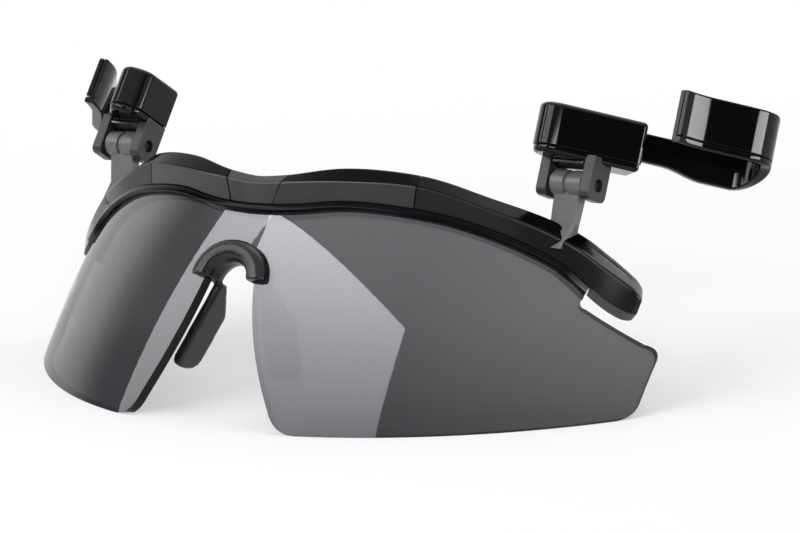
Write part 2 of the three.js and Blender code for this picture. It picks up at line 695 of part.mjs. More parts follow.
// Each place on the hook's line with its inward direction, how far it has climbed from strip to tab,
// and how far the strip's lower edge has swollen
function hookPlaces() {
  const { line, turnStart } = hookLine();
  return line.map(([along, ahead], i) => {
    const [a, b] = [line[Math.max(0, i - 1)], line[Math.min(line.length - 1, i + 1)]];
    const run = new THREE.Vector2(b[0] - a[0], b[1] - a[1]).normalize();
    const climb = THREE.MathUtils.smoothstep(i, turnStart, turnStart + CLIMB_STEPS);
    const swollen = THREE.MathUtils.smoothstep(along, SWELL_START, SWELL_START + SWELL_LENGTH);
    const covered = i >= turnStart + TURN_STEPS / 2;
    return { along, ahead, inward: [-run.y, run.x], climb, swell: swollen * (1 - climb), covered };
  });
}

function hookPoint(place, inward, up) {
  const [x, y] = onClip(place.along + place.inward[0] * inward, place.ahead + place.inward[1] * inward);
  return vec(x, y, up);
}

const OUTSIDE = -STRIP_THICKNESS / 2;
const INSIDE = STRIP_THICKNESS / 2;

function hookEdges({ climb, swell }) {
  const low = STRIP_LOW + TAB_RISE * climb - SWELL_DEPTH * swell;
  const high = STRIP_HIGH + (TAB_RISE + TAB_HEIGHT - STRIP_HEIGHT) * climb;
  return { low, seam: low + COVER_SEAM, high };
}

function makeHook() {
  const section = (place) => {
    const { low, seam, high } = hookEdges(place);
    const step = OUTSIDE + (place.covered ? COVER_THICKNESS + COVER_GAP : 0);
    return [[OUTSIDE, low], [INSIDE, low], [INSIDE, high], [step, high], [step, seam], [OUTSIDE, seam]];
  };
  const places = hookPlaces();
  const rings = places.map((place) => section(place).map(([inward, up]) => hookPoint(place, inward, up)));
  const hook = loft(rings, flat(section(places.at(-1))));
  const lugEnd = LUG_LENGTH - STRIP_TAIL;
  const lugFront = CAVITY_FRONT - SEAT_GAP;
  const lug = clipBox([-STRIP_TAIL, lugEnd], [STRIP_AHEAD, lugFront], [STRIP_LOW, STRIP_HIGH]);
  return hook.add(lug);
}

function makeHookCover() {
  const section = (place) => {
    const { seam, high } = hookEdges(place);
    const inner = OUTSIDE + COVER_THICKNESS;
    return [[OUTSIDE, seam + COVER_GAP], [inner, seam + COVER_GAP], [inner, high], [OUTSIDE, high]];
  };
  const places = hookPlaces().filter((place) => place.covered).slice(1);
  const rings = places.map((place) => section(place).map(([inward, up]) => hookPoint(place, inward, up)));
  return loft(rings, flat(section(places[0])));
}

class Coil extends THREE.Curve {
  constructor(length, radius, curls) {
    super();
    Object.assign(this, { length, radius, curls });
  }

  getPoint(t) {
    const angle = 2 * Math.PI * this.curls * t;
    return vec(this.length * t, this.radius * Math.cos(angle), this.radius * Math.sin(angle));
  }
}

const SPRING_START = LUG_LENGTH - STRIP_TAIL + SEAT_GAP + SPRING_WIRE / 2;
const SPRING_LENGTH = CAVITY_END - SEAT_GAP - SPRING_WIRE / 2 - SPRING_START;
const SPRING_AHEAD = (STRIP_FRONT + CAVITY_FRONT) / 2;

function makeSpring() {
  const coil = new Coil(SPRING_LENGTH, SPRING_RADIUS, SPRING_CURLS);
  const wire = new THREE.Shape(
    Array.from({ length: WIRE_SIDES }, (_, i) => {
      const angle = (2 * Math.PI * i) / WIRE_SIDES;
      return new THREE.Vector2(Math.cos(angle), Math.sin(angle)).multiplyScalar(SPRING_WIRE / 2);
    }),
  );
  const steps = SPRING_CURLS * CURL_STEPS;
  const tube = new THREE.ExtrudeGeometry(wire, { steps, extrudePath: coil, bevelEnabled: false });
  const middle = (STRIP_LOW + STRIP_HIGH) / 2;
  tube.translate(SPRING_START, -SPRING_AHEAD, middle);
  return solidOf(tube).rotate([0, 0, CLIP_SPLAY]);
}

// The least distance between points one curl apart, less the wire
function springGap() {
  const coil = new Coil(SPRING_LENGTH, SPRING_RADIUS, SPRING_CURLS);
  const points = coil.getPoints(SPRING_CURLS * CURL_STEPS);
  const gaps = points.slice(CURL_STEPS).map((point, i) => point.distanceTo(points[i]) - SPRING_WIRE);
  return Math.min(...gaps);
}

// A leaf that lies under the plate and bears on the knuckle
function makeLeaf() {
  const half = EAR_SPACE / 2 - LEAF_SIDE_GAP;
  const top = BASE_HEIGHT - SEAT_GAP / 2;
  const bow = top - LEAF_THICKNESS - KNUCKLE_RADIUS - SEAT_GAP / 2;
  const leaf = new THREE.Shape();
  leaf.moveTo(-LEAF_LENGTH / 2, top);
  leaf.quadraticCurveTo(0, top - 2 * bow, LEAF_LENGTH / 2, top);
  leaf.lineTo(LEAF_LENGTH / 2, top - LEAF_THICKNESS);
  leaf.quadraticCurveTo(0, top - 2 * bow - LEAF_THICKNESS, -LEAF_LENGTH / 2, top - LEAF_THICKNESS);
  const strip = extrude(leaf, 2 * half).rotateX(Math.PI / 2).rotateZ(Math.PI / 2);
  return solidOf(strip.translate(-half, 0, 0));
}

// The whole object, then set down with its lowest point at z = 0, centred over the origin

const object = new THREE.Group();
object.add(piece("lens", makeLens(), materials.lens));
object.add(piece("brow_rim", makeRim(), materials.gloss));
object.add(piece("bridge_cover", makeBridge(), materials.satin));
object.add(piece("nose_piece", makeNosePiece(), materials.rubber));

const fixed = [
  ["brow_cover", makeCover(), materials.satin],
  ["brow_arm", makeArm(postLeg(SEAT_GAP)), materials.satin],
  ["hinge_post", makePost(), materials.post],
];
const turning = [
  ["hinge_pin", rodAlongX(PIN_RADIUS, 2 * (YOKE_HALF - PIN_RECESS)), materials.steel],
  ["clip_base", makeBase(), materials.gloss],
  ["clip_housing", makeHousing(), materials.gloss],
  ["detent_leaf", makeLeaf(), materials.steel],
  ["brim_hook", makeHook(), materials.gloss],
  ["hook_cover", makeHookCover(), materials.gloss],
  ["return_spring", makeSpring(), materials.steel],
];
for (const side of SIDES) {
  const half = new THREE.Group();
  half.scale.x = side.sign;
  for (const [name, solid, material] of fixed) half.add(piece(`${name}_${side.name}`, solid, material));
  const clip = new THREE.Group();
  clip.position.copy(pinPlace);
  clip.rotation.x = -radians(side.lean);
  for (const [name, solid, material] of turning) clip.add(piece(`${name}_${side.name}`, solid, material));
  half.add(clip);
  object.add(half);
}

object.updateMatrixWorld(true);
const box = new THREE.Box3().setFromObject(object, true);
const middle = box.getCenter(vec(0, 0, 0));
object.position.set(-middle.x, -middle.y, -box.min.z);

const pin = pinPlace.clone().add(object.position);
console.log("hinge pin at", pin.toArray().map((v) => v.toFixed(3)).join(", "));
console.log("return spring, least gap between curls", springGap().toFixed(2));
const lugRoom = CAVITY_END - (LUG_LENGTH - STRIP_TAIL);
console.log("room left ahead of the lug with the hook pulled out", (lugRoom - HOOK_TRAVEL).toFixed(2));

const group = new THREE.Group();
group.add(object);
export default group;
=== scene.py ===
# Looks for the cap clip sunglasses: finer rounded pieces over the fixed frame,
# their materials and the studio.
# Sizes are in millimetres and repeat the part's own; the objects are in metres.
# Values named EDGE are the radii of rounded edges.
# Left and right are the wearer's, so left is +X.
import json
from functools import lru_cache
from math import ceil, cos, pi, radians, sin, sqrt, tan

import bmesh
import bpy
from mathutils import Matrix, Vector

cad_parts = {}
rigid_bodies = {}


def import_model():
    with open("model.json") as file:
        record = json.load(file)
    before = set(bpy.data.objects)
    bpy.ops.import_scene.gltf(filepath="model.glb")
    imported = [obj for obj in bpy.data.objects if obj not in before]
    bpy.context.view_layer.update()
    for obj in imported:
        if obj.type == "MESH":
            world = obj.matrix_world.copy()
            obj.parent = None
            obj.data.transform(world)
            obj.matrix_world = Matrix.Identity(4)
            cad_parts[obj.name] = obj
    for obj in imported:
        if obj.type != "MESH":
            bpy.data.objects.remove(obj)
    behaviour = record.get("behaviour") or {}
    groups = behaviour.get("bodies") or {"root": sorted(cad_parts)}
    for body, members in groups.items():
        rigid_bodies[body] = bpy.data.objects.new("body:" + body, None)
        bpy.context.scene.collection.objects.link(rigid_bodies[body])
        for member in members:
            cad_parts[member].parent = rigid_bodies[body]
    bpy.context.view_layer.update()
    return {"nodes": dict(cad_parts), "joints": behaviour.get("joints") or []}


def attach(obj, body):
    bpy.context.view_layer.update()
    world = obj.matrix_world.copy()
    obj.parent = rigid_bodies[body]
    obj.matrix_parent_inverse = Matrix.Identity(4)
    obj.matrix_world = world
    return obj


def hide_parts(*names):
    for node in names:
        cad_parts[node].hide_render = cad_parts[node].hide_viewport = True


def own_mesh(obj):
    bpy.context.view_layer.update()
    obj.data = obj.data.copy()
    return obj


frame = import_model()

MM = 0.001

# Fits, and what shows of them in the seams
SEAT_GAP = 0.3
PLATE_SEAM = 0.12  # under the housing
POST_SEAM = 0.06  # round the post in the arm
BROW_SEAM = 0.24  # between two brow pieces
SEAM_REACH = 0.5  # of the dark web in a brow seam, to either side
SEAM_SHARE = 0.92  # of the brow's section that the web fills

# Lens
LENS_HALF_WIDTH = 74.5
LENS_THICKNESS = 2
LENS_RADIUS_ACROSS = 110
LENS_RADIUS_DOWN = 189
LENS_AXIS_DROP = 81.5
LENS_AXIS_LEAN = radians(5.8)
NOSE_HALF_WIDTH = 6.2
NOSE_SHOULDER_HEIGHT = 25.6
NOSE_TOP_HEIGHT = 30.2
NOSE_ARCH_RISE = NOSE_TOP_HEIGHT - NOSE_SHOULDER_HEIGHT
INNER_EDGE_BEND = (8.8, 15.5)
INNER_CORNER = (16, 4.3)
LOWER_EDGE_START = 23
OUTER_CORNER_RADIUS = 2.5
TIP_HEIGHT = 11
TIP_RADIUS = 2.2
NOTCH_X = 62.4
NOTCH_HEIGHT = 19.8
NOTCH_RADIUS = 1.1
NOTCH_NUDGE = 0.01  # sets the foot of the notch's wall off from its top
LENS_ROWS = 24
NOSE_ARCH_STEPS = 12
INNER_EDGE_STEPS = 20
INNER_CORNER_STEPS = 12
LOWER_EDGE_STEP = 1.5
OUTER_CORNER_STEPS = 8
TIP_SLOPE_STEPS = 6
SEARCH_ROUNDS = 40  # enough for a place to settle

# Brow
BROW_LINE = [(0, 37), (10, 37.3), (20, 38), (30, 37.1), (40, 34.9), (50, 30.8), (60, 24.9), (72, 16.9)]
STATION_STEP = 1
SPAN_STEPS = 20  # of a curve, between two given points
TANGENT_REACH = 0.25
RIM_LIP = 0.9
RIM_HEIGHT = 1.3
RIM_NECK = 0.5
WEB_THICKNESS = 1.8
WEB_SETBACK = 0.25
LENS_SEAT_GAP = 0.3
BRIDGE_HALF_WIDTH = 5.2
BRIDGE_FLARE = 0.5
OUTER_SEAM_X = 33
ARM_TIP_X = 69.6
CHIN_START_X = 62.9
END_DROP = 4
END_DROP_START = 55.5
END_DROP_END = 68.5
BROW_FRONT = 0.75
BROW_BACK = 3.4
RIDGE_BACK = 2.4
TIP_LENGTH = 1.6  # of an arm, rounded off
TIP_SHRINK = 0.3  # of its section, at the very end
TIP_STEPS = 8
ARM_END_STEP = 0.3
SLOT_START = 60.5
SLOT_END = 68
SLOT_BELOW = 1.4  # the ridge
SLOT_WIDTH = 0.5
SLOT_DEPTH = 0.5
SLOT_TAPER = 0.1  # of a half wave, left off at either end
RIM_EDGE = 0.3
RIM_FRONT_EDGE = 0.4
GROOVE_EDGE = 0.1
COVER_EDGE = 0.3
CREASE_EDGE = 0.9
RIDGE_EDGE = 0.7
RIDGE_BACK_EDGE = 0.6
BROW_BACK_EDGE = 0.5
RIM_BEVEL = 0.2
RIM_BEVEL_ANGLE = 70
COVER_BEVEL = 0.25
ARM_BEVEL = 0.2
# x, then the front crease's and the ridge's places ahead of the lens and above the lower line
BROW_PROFILE = [
    (0, 2, 5.4, 1, 7.2),
    (9, 2.6, 5.4, 1.6, 7.7),
    (20, 2.7, 4.7, 1.9, 8),
    (33, 2.7, 5.2, 1.8, 8.1),
    (44, 2.5, 4.4, 0.6, 7.6),
    (57, 2.4, 4.7, 0.4, 8.4),
    (63, 2.4, 3.5, -0.2, 7.4),
    (67.5, 2.3, 2, -0.3, 5.6),
    (70.6, 2, 0.2, -0.3, 3.6),
]

# Nose piece
SADDLE_FRONT = 1.7
SADDLE_BACK = 2
SADDLE_REACH_TOP = 1.9
SADDLE_REACH_ENDS = 2.8
SADDLE_INSIDE = 1.6
SADDLE_STEPS = 40
SADDLE_EDGE = 0.5
SADDLE_FRONT_EDGE = 0.9
SADDLE_SIDE_EDGE = 0.8
SADDLE_BACK_EDGE = 0.6
PAD_THICKNESS = 1.8
PAD_NECK = 2.2
PAD_DEPTH = 7.6
PAD_LENGTH = 18
PAD_WIDE_FROM = 6
PAD_SPLAY = radians(2)
PAD_INSET = 0.7
PAD_RADII = (0.3, 0.5, 2.5, 4, 2)  # of its corners, round from the front one at its top
PAD_STEPS = 8
NOSE_VOXEL = 0.3
NOSE_SMOOTHING = 0.5
NOSE_SMOOTHING_ROUNDS = 8

# Hinge
HINGE_X = 56.6
PIN_SETBACK = 8
PIN_RISE = 14
PIN_RADIUS = 1
RUNNING_GAP = 0.2
BORE_RADIUS = PIN_RADIUS + RUNNING_GAP
SIDE_PLAY = 0.3
KNUCKLE_RADIUS = 2.5
KNUCKLE_GROOVE_WIDTH = 0.9
KNUCKLE_GROOVE_DEPTH = 0.4
KNUCKLE_EDGE = 0.3
KNUCKLE_GROOVE_EDGE = 0.2
KNUCKLE_SIDES = 48
POST_THICKNESS = 2.6
POST_WIDTH = 6.2
POST_EDGE = 0.4
POST_FOOT = (-1.8, 4.6)
FOOT_INWARD = 1
FOOT_SEARCH = 10  # to either side of the hinge
FOOT_THICKNESS = 2
FOOT_WIDTH = 5
TONGUE_WIDTH = 2
TONGUE_REACH = 2.95
TONGUE_START = 0.62

# Clip base and housing
EAR_THICKNESS = 2.2
EAR_SPACE = 7.9
EAR_FRONT = 2.8
EAR_BACK = 2.8
EAR_DROP = 3
EAR_RADIUS = 1.5
EAR_STEPS = 8
EAR_BEVEL = 0.25
BORE_SIDES = 40
BASE_THICKNESS = 1.2
BASE_HEIGHT = 4
BASE_INSET = 0.25
PLATE_EDGE = 0.8  # of the plate's lower rim
SEAM_EDGE = 0.15  # of the rims at the housing's seam
CLIP_SPLAY = radians(50)
HOUSING_FRONT = 5.4
HOUSING_START = 9
HOUSING_END = 11
HOUSING_END_DEPTH = 8.5
HOUSING_HEIGHT = 8
HOUSING_NOSE_RADIUS = 4
HOUSING_CHEEK_RADIUS = 3.8
HOUSING_EDGE = 0.9
HOUSING_CURVE_STEPS = 10
HOUSING_CURVE_SHARE = 0.7
EDGE_STEPS = 5
LEAST_RADIUS = 0.2
HOUSING_WALL = 1

# Brim hook
STRIP_THICKNESS = 2.2
STRIP_HEIGHT = 5.4
STRIP_SETBACK = 5.4
STRIP_TAIL = 5.8
SWELL_START = 16
SWELL_LENGTH = 8
SWELL_DEPTH = 1.3
TURN_RADIUS = 4.9
TURN_CENTRE = 29.2
TURN_STEPS = 32
TURN_COVERED = 0.5
CLIMB_SHARE = 0.7
TAB_HEIGHT = 9.9
TAB_RISE = 3.3
TAB_END = 14.9
TAB_BEND = 21
TAB_FLARE = 1.8
COVER_THICKNESS = 0.9
COVER_GAP = 0.25
COVER_SEAM = 1.2
STRIP_EDGE = 0.45
STEP_EDGE = 0.1  # where the strip is cut back for its cover, and the cover's inner rim
STRIP_SEAM_EDGE = 0.12
COVER_SEAM_EDGE = 0.15
COVER_TOP_EDGE = 0.5
HOOK_BEVEL = 0.4
LUG_LENGTH = 1.5

# Return springs
SPRING_RADIUS = 1.1
SPRING_WIRE = 0.4
SPRING_CURLS = 8
CURL_STEPS = 24
WIRE_SIDES = 10

# Each side's name, its sign along X and how far its clip leans back at rest, in degrees
SIDES = [("left", 1, 25), ("right", -1, 36.5)]

# Finishes
CLOUD_SIZE = 12  # of the clouds of colour, in grains
CLOUD_DETAIL = 4
GRAIN_DETAIL = 3
GRAIN_DEPTH = 0.02
LENS_INDEX = 1.8
LENS_OPACITY = 0.8  # in the middle
LENS_SHEEN = (0.18, 0.61)  # at the lower edge and under the brow
LENS_SHEEN_HEIGHT = 38
LENS_SHEEN_TINT = (0.95, 0.955, 1, 1)
LENS_CLOUD_SCALE = 60
LENS_CLOUD_DETAIL = 2

# Studio, in metres; the camera's place, sensor and lens are in millimetres
WHITE = (1, 1, 1, 1)
FILL_LIGHT = 0.25  # of the surround, where white is 1
WHITE_SWEEP = ("Y", -0.2, 0.15)  # where the mirrored room turns white, by a ray's direction
WHITE_CEILING = ("Z", 0.45, 0.75)
FLOOR_REACH = 3.0
FLOOR_DROP = 0.02 * MM
FLOOR_PAINT = (0.9, 0.9, 0.9, 1)
FLOOR_GLOW = (0.4, 1.0)  # under the object and away from it
FLOOR_GLOW_REACH = (0.08, 0.3)
STRIP_DISTANCE = 2
CAMERA_PLACE = (606.4, -680.87, 219.8)
CAMERA_RIGHT = (0.766, 0.6383, -0.076)
CAMERA_UP = (-0.0797, 0.2116, 0.9741)
SENSOR_WIDTH = 36
FOCAL_LENGTH = 218.2
CLIP_END = 20


# Materials

# Two near colours for each finish
GLOSS_TINTS = [(0.002, 0.002, 0.0022), (0.0032, 0.0032, 0.0035)]
SATIN_TINTS = [(0.018, 0.018, 0.0192), (0.026, 0.026, 0.0276)]
ARM_TINTS = [(0.008, 0.008, 0.0086), (0.012, 0.012, 0.0126)]
WALL_TINTS = [(0.0015, 0.0015, 0.0017), (0.0025, 0.0025, 0.0028)]
EDGE_TINTS = [(0.003, 0.003, 0.0034), (0.005, 0.005, 0.0056)]
RUBBER_TINTS = [(0.004, 0.004, 0.0043), (0.007, 0.007, 0.0074)]
POST_TINTS = [(0.085, 0.085, 0.089), (0.12, 0.12, 0.125)]
# The steel's tints are painted darker than bare steel: painted shade for the detent leaf, which sits in
# shade between the ears
SHADED_STEEL_TINTS = [(0.08, 0.082, 0.085), (0.12, 0.122, 0.125)]
PIN_TINTS = [(0.01, 0.01, 0.01), (0.02, 0.02, 0.02)]
LENS_TINTS = [(0.022, 0.023, 0.027), (0.028, 0.029, 0.033)]


def start_material(name):
    """A new material, its node tree and its shader."""
    made = bpy.data.materials.new(name)
    made.use_nodes = True
    return made, made.node_tree, made.node_tree.nodes["Principled BSDF"]


def add(tree, kind, **values):
    """A new node of a kind, with values for its inputs."""
    made = tree.nodes.new("ShaderNode" + kind)
    for name, value in values.items():
        made.inputs[name].default_value = value
    return made


def noise(tree, scale, detail):
    """A noise over the object's own places. scale is per metre."""
    made = add(tree, "TexNoise", Scale=scale, Detail=detail)
    tree.links.new(add(tree, "TexCoord").outputs["Object"], made.inputs["Vector"])
    return made.outputs["Fac"]


def coordinate(tree, kind, axis):
    """One coordinate of a place or direction."""
    split = add(tree, "SeparateXYZ")
    tree.links.new(add(tree, "TexCoord").outputs[kind], split.inputs["Vector"])
    return split.outputs[axis]


def ranged(tree, value, low, high, to_low=0, to_high=1, smooth=False):
    """A value taken from one range to another and held at the ends."""
    limits = {"From Min": low, "From Max": high, "To Min": to_low, "To Max": to_high}
    made = add(tree, "MapRange", **limits)
    made.interpolation_type = "SMOOTHSTEP" if smooth else "LINEAR"
    tree.links.new(value, made.inputs["Value"])
    return made.outputs["Result"]


def worked(tree, operation, *values):
    """The result of an operation on one or two values."""
    made = add(tree, "Math")
    made.operation = operation
    for value, socket in zip(values, made.inputs):
        tree.links.new(value, socket)
    return made.outputs[0]


def tinted(tree, shader, share, tints):
    """Colours a shader between two tints."""
    tint = add(tree, "Mix")
    tint.data_type = "RGBA"
    for name, colour in zip("AB", tints):
        tint.inputs[name].default_value = (*colour, 1)
    tree.links.new(share, tint.inputs["Factor"])
    tree.links.new(tint.outputs["Result"], shader.inputs["Base Color"])


def material(name, tints, roughness, spread, bump, scale, metallic=0.0, specular=0.5):
    """A moulded or drawn surface: two near colours, a roughness that wanders, and a grain."""
    made, tree, shader = start_material(name)
    shader.inputs["Metallic"].default_value = metallic
    shader.inputs["Specular IOR Level"].default_value = specular
    cloud = noise(tree, scale / CLOUD_SIZE, CLOUD_DETAIL)
    tinted(tree, shader, cloud, tints)
    rough = ranged(tree, cloud, 0, 1, roughness - spread, roughness + spread)
    tree.links.new(rough, shader.inputs["Roughness"])
    relief = add(tree, "Bump", Strength=bump, Distance=GRAIN_DEPTH * MM)
    tree.links.new(noise(tree, scale, GRAIN_DETAIL), relief.inputs["Height"])
    tree.links.new(relief.outputs["Normal"], shader.inputs["Normal"])
    return made


def change_outwards(made, socket, start, end, value):
    """Lets one value of a finish change outwards from the middle, between two places along X."""
    tree = made.node_tree
    changed = tree.nodes["Principled BSDF"].inputs[socket]
    outwards = worked(tree, "ABSOLUTE", coordinate(tree, "Object", "X"))
    blend = add(tree, "Mix", A=changed.default_value, B=value)
    tree.links.new(ranged(tree, outwards, start * MM, end * MM), blend.inputs["Factor"])
    if changed.links:
        tree.links.new(changed.links[0].from_socket, blend.inputs["A"])
    tree.links.new(blend.outputs["Result"], changed)


def lens_material():
    """Smoke-grey clear plastic with a mirror sheen that fades towards its lower edge."""
    made, tree, shader = start_material("smoke_lens")
    shader.inputs["Roughness"].default_value = 0
    shader.inputs["IOR"].default_value = LENS_INDEX
    shader.inputs["Alpha"].default_value = LENS_OPACITY
    shader.inputs["Specular Tint"].default_value = LENS_SHEEN_TINT
    height = coordinate(tree, "Object", "Z")
    sheen = ranged(tree, height, 0, LENS_SHEEN_HEIGHT * MM, *LENS_SHEEN)
    tree.links.new(sheen, shader.inputs["Specular IOR Level"])
    tinted(tree, shader, noise(tree, LENS_CLOUD_SCALE, LENS_CLOUD_DETAIL), LENS_TINTS)
    return made


# Name, tints, roughness and how far it wanders, then the grain's strength and its scale per metre
GLOSS = material("gloss_black", GLOSS_TINTS, 0.07, 0.02, 0.02, 1500, specular=0.22)
SATIN = material("satin_black", SATIN_TINTS, 0.36, 0.05, 0.2, 5000, specular=0.38)
ARM = material("satin_to_gloss", ARM_TINTS, 0.36, 0.05, 0.1, 5000, specular=0.2)
change_outwards(ARM, "Roughness", start=46, end=58, value=0.1)
WALL = material("deep_black", WALL_TINTS, 0.12, 0.03, 0.02, 1500, specular=0.07)
change_outwards(WALL, "Specular IOR Level", start=60, end=63, value=1.0)
EDGE = material("lens_edge", EDGE_TINTS, 0.15, 0.04, 0.05, 1500, specular=0.2)
RUBBER = material("soft_rubber", RUBBER_TINTS, 0.26, 0.05, 0.2, 3500, specular=0.34)
POST = material("post_grey", POST_TINTS, 0.36, 0.05, 0.2, 4000, specular=0.5)
# Steel with painted shade, used for the detent leaves and for the return springs' coils
SHADED_STEEL = material("spring_steel", SHADED_STEEL_TINTS, 0.3, 0.06, 0.15, 6000, metallic=1.0)
DARK_PIN = material("dark_pin", PIN_TINTS, 0.4, 0.05, 0.1, 4000, metallic=0.6)
LENS = lens_material()
change_outwards(LENS, "Alpha", start=36, end=72, value=0.66)


# Meshes

MOULDED = ("_visual", "_ears")
SMOOTH = ("lens", "nose_piece")
WELD = 0.001
LEAST_LENGTH = 1e-6
SHARP_ANGLE = 38
FACE_WEIGHT = 100
BEVEL_ANGLE = 60
BEVEL_STEPS = 3
CURVE_STEPS = 4
CURVE_SHARE = 0.45


def add_object(name, data):
    made = bpy.data.objects.new(name, data)
    bpy.context.scene.collection.objects.link(made)
    return made


def new_mesh(name, points, faces):
    mesh = bpy.data.meshes.new(name)
    mesh.from_pydata([tuple(c * MM for c in p) for p in points], [], faces)
    return mesh


def face_outwards(mesh, weld=0):
    """Turns a closed mesh's faces outwards, and before that joins points no further apart than weld."""
    shell = bmesh.new()
    shell.from_mesh(mesh)
    if weld:
        bmesh.ops.remove_doubles(shell, verts=shell.verts, dist=weld * MM)
        bmesh.ops.dissolve_degenerate(shell, edges=shell.edges, dist=weld * MM)
    bmesh.ops.recalc_face_normals(shell, faces=shell.faces)
    shell.to_mesh(mesh)
    shell.free()


def shade(mesh):
    """Smooth shading, except over sharp edges."""
    mesh.shade_smooth()
    mesh.set_sharp_from_angle(angle=radians(SHARP_ANGLE))


def piece(node, points, faces, looks, body, slot, tones=None, part="visual"):
    """A mesh object that rides on a body and stands for a node; tones numbers each face's look."""
    name = f"{node}_{part}"
    mesh = new_mesh(name, points, faces)
    if tones:
        mesh.polygons.foreach_set("material_index", tones)
    face_outwards(mesh, WELD)
    shade(mesh)
    for look in looks:
        mesh.materials.append(look)
    made = add_object(name, mesh)
    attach(made, body)
    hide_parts(node)
    return made


def settle_normals():
    """Lets the large faces of each moulded piece set its normals, so that flat faces mirror as flat ones."""
    for made in bpy.context.scene.objects:
        if made.type == "MESH" and made.name.endswith(MOULDED) and not made.name.startswith(SMOOTH):
            level = made.modifiers.new("level_faces", "WEIGHTED_NORMAL")
            level.mode = "FACE_AREA"
            level.weight = FACE_WEIGHT
            level.keep_sharp = True


def soften(made, width, angle=BEVEL_ANGLE):
    """Rounds the edges that turn by more than angle."""
    edge = made.modifiers.new("rounded_edges", "BEVEL")
    edge.width = width * MM
    edge.segments = BEVEL_STEPS
    edge.limit_method = "ANGLE"
    edge.angle_limit = radians(angle)


def square_to(axis, vector):
    """The direction of a vector's part that is square to an axis."""
    return (vector - axis * vector.dot(axis)).normalized()


def bezier(start, bend, end, steps):
    """Points along a quadratic curve, the first left out."""
    made = []
    for i in range(1, steps + 1):
        t = i / steps
        made.append(tuple(
            a * (1 - t) ** 2 + 2 * b * t * (1 - t) + c * t * t for a, b, c in zip(start, bend, end)))
    return made


def rounded(corners, steps=CURVE_STEPS, most=CURVE_SHARE):
    """A closed outline with a curve at each [u, v, radius] corner, over at most this share of an edge."""
    made = []
    count = len(corners)
    for i, (u, v, radius) in enumerate(corners):
        corner = Vector((u, v))
        back = Vector(corners[i - 1][:2]) - corner
        on = Vector(corners[(i + 1) % count][:2]) - corner
        if min(back.length, on.length) < LEAST_LENGTH or radius <= 0:
            made += [tuple(corner)] * (steps + 1)
            continue
        half = back.angle(on) / 2
        reach = min(radius / tan(half), most * back.length, most * on.length)
        start = corner + back.normalized() * reach
        end = corner + on.normalized() * reach
        made.append(tuple(start))
        made += bezier(start, corner, end, steps)
    return made


def loft(rings):
    """Points and faces of a closed skin over rings that have as many points each."""
    count = len(rings[0])
    points = [p for ring in rings for p in ring]
    faces = []
    for r in range(len(rings) - 1):
        for k in range(count):
            here, on = r * count + k, r * count + (k + 1) % count
            faces.append((here, on, on + count, here + count))
    last = (len(rings) - 1) * count
    faces.append(tuple(reversed(range(count))))
    faces.append(tuple(range(last, last + count)))
    return points, faces


def joined(*parts):
    """Several sets of points and faces as one."""
    points, faces = [], []
    for more_points, more_faces in parts:
        start = len(points)
        points += list(more_points)
        faces += [tuple(start + i for i in face) for face in more_faces]
    return points, faces


def evaluated(made):
    """Puts a piece's modifiers into its mesh."""
    graph = bpy.context.evaluated_depsgraph_get()
    mesh = bpy.data.meshes.new_from_object(made.evaluated_get(graph))
    made.modifiers.clear()
    made.data = mesh


def cut(made, solids):
    """Takes closed solids, given as points and faces, out of a piece."""
    for points, faces in solids:
        mesh = new_mesh("cutter", points, faces)
        face_outwards(mesh)
        cutter = add_object("cutter", mesh)
        away = made.modifiers.new("cut", "BOOLEAN")
        away.operation = "DIFFERENCE"
        away.solver = "EXACT"
        away.object = cutter
        bpy.context.view_layer.update()
        evaluated(made)
        bpy.data.objects.remove(cutter)


# The lens's surface and the brow's own measure

def raw_lens_point(x, z):
    rise = z + LENS_AXIS_DROP
    lean_cos, lean_sin = cos(LENS_AXIS_LEAN), sin(LENS_AXIS_LEAN)
    y = -LENS_RADIUS_ACROSS
    for _ in range(SEARCH_ROUNDS):
        height = rise * lean_cos - y * lean_sin
        radius = LENS_RADIUS_ACROSS - LENS_RADIUS_DOWN + sqrt(LENS_RADIUS_DOWN ** 2 - height ** 2)
        y = (-sqrt(radius ** 2 - x ** 2) - rise * lean_sin) / lean_cos
    return Vector((x, y, z))


def raw_lens_normal(point):
    turn = Matrix.Rotation(LENS_AXIS_LEAN, 3, "X")
    local = turn.transposed() @ Vector((point.x, point.y, point.z + LENS_AXIS_DROP))
    ring = Vector((local.x, local.y, 0)).normalized() * (LENS_RADIUS_ACROSS - LENS_RADIUS_DOWN)
    return (turn @ (local - ring)).normalized()


def spline(points):
    """Points along a curve through the given ones."""
    made = []
    for i in range(len(points) - 1):
        p0, p1 = points[max(0, i - 1)], points[i]
        p2, p3 = points[i + 1], points[min(len(points) - 1, i + 2)]
        for k in range(SPAN_STEPS):
            t = k / SPAN_STEPS
            row = []
            for a, b, c, d in zip(p0, p1, p2, p3):
                v0, v1 = (c - a) / 2, (d - b) / 2
                cubic = 2 * b - 2 * c + v0 + v1
                square = 3 * c - 3 * b - 2 * v0 - v1
                row.append(cubic * t ** 3 + square * t ** 2 + v0 * t + b)
            made.append(tuple(row))
    made.append(tuple(points[-1]))
    return made


def read(table, x):
    """The row of a table at x, between the rows beside it."""
    for low, high in zip(table, table[1:]):
        if x <= high[0]:
            share = (x - low[0]) / (high[0] - low[0])
            return [a + (b - a) * share for a, b in zip(low[1:], high[1:])]
    return list(table[-1][1:])


BROW_CURVE = spline([(-x, z) for x, z in reversed(BROW_LINE[1:])] + BROW_LINE)
PROFILE_CURVE = spline(BROW_PROFILE)


def brow_height(x):
    return read(BROW_CURVE, x)[0]


def raw_pin():
    base = raw_lens_point(HINGE_X, brow_height(HINGE_X))
    return base + Vector((0, PIN_SETBACK, PIN_RISE))


JOINTS = {joint["name"]: joint for joint in frame["joints"]}
PIN = Vector(JOINTS["flip_left"]["pos_m"]) / MM
SHIFT = PIN - raw_pin()


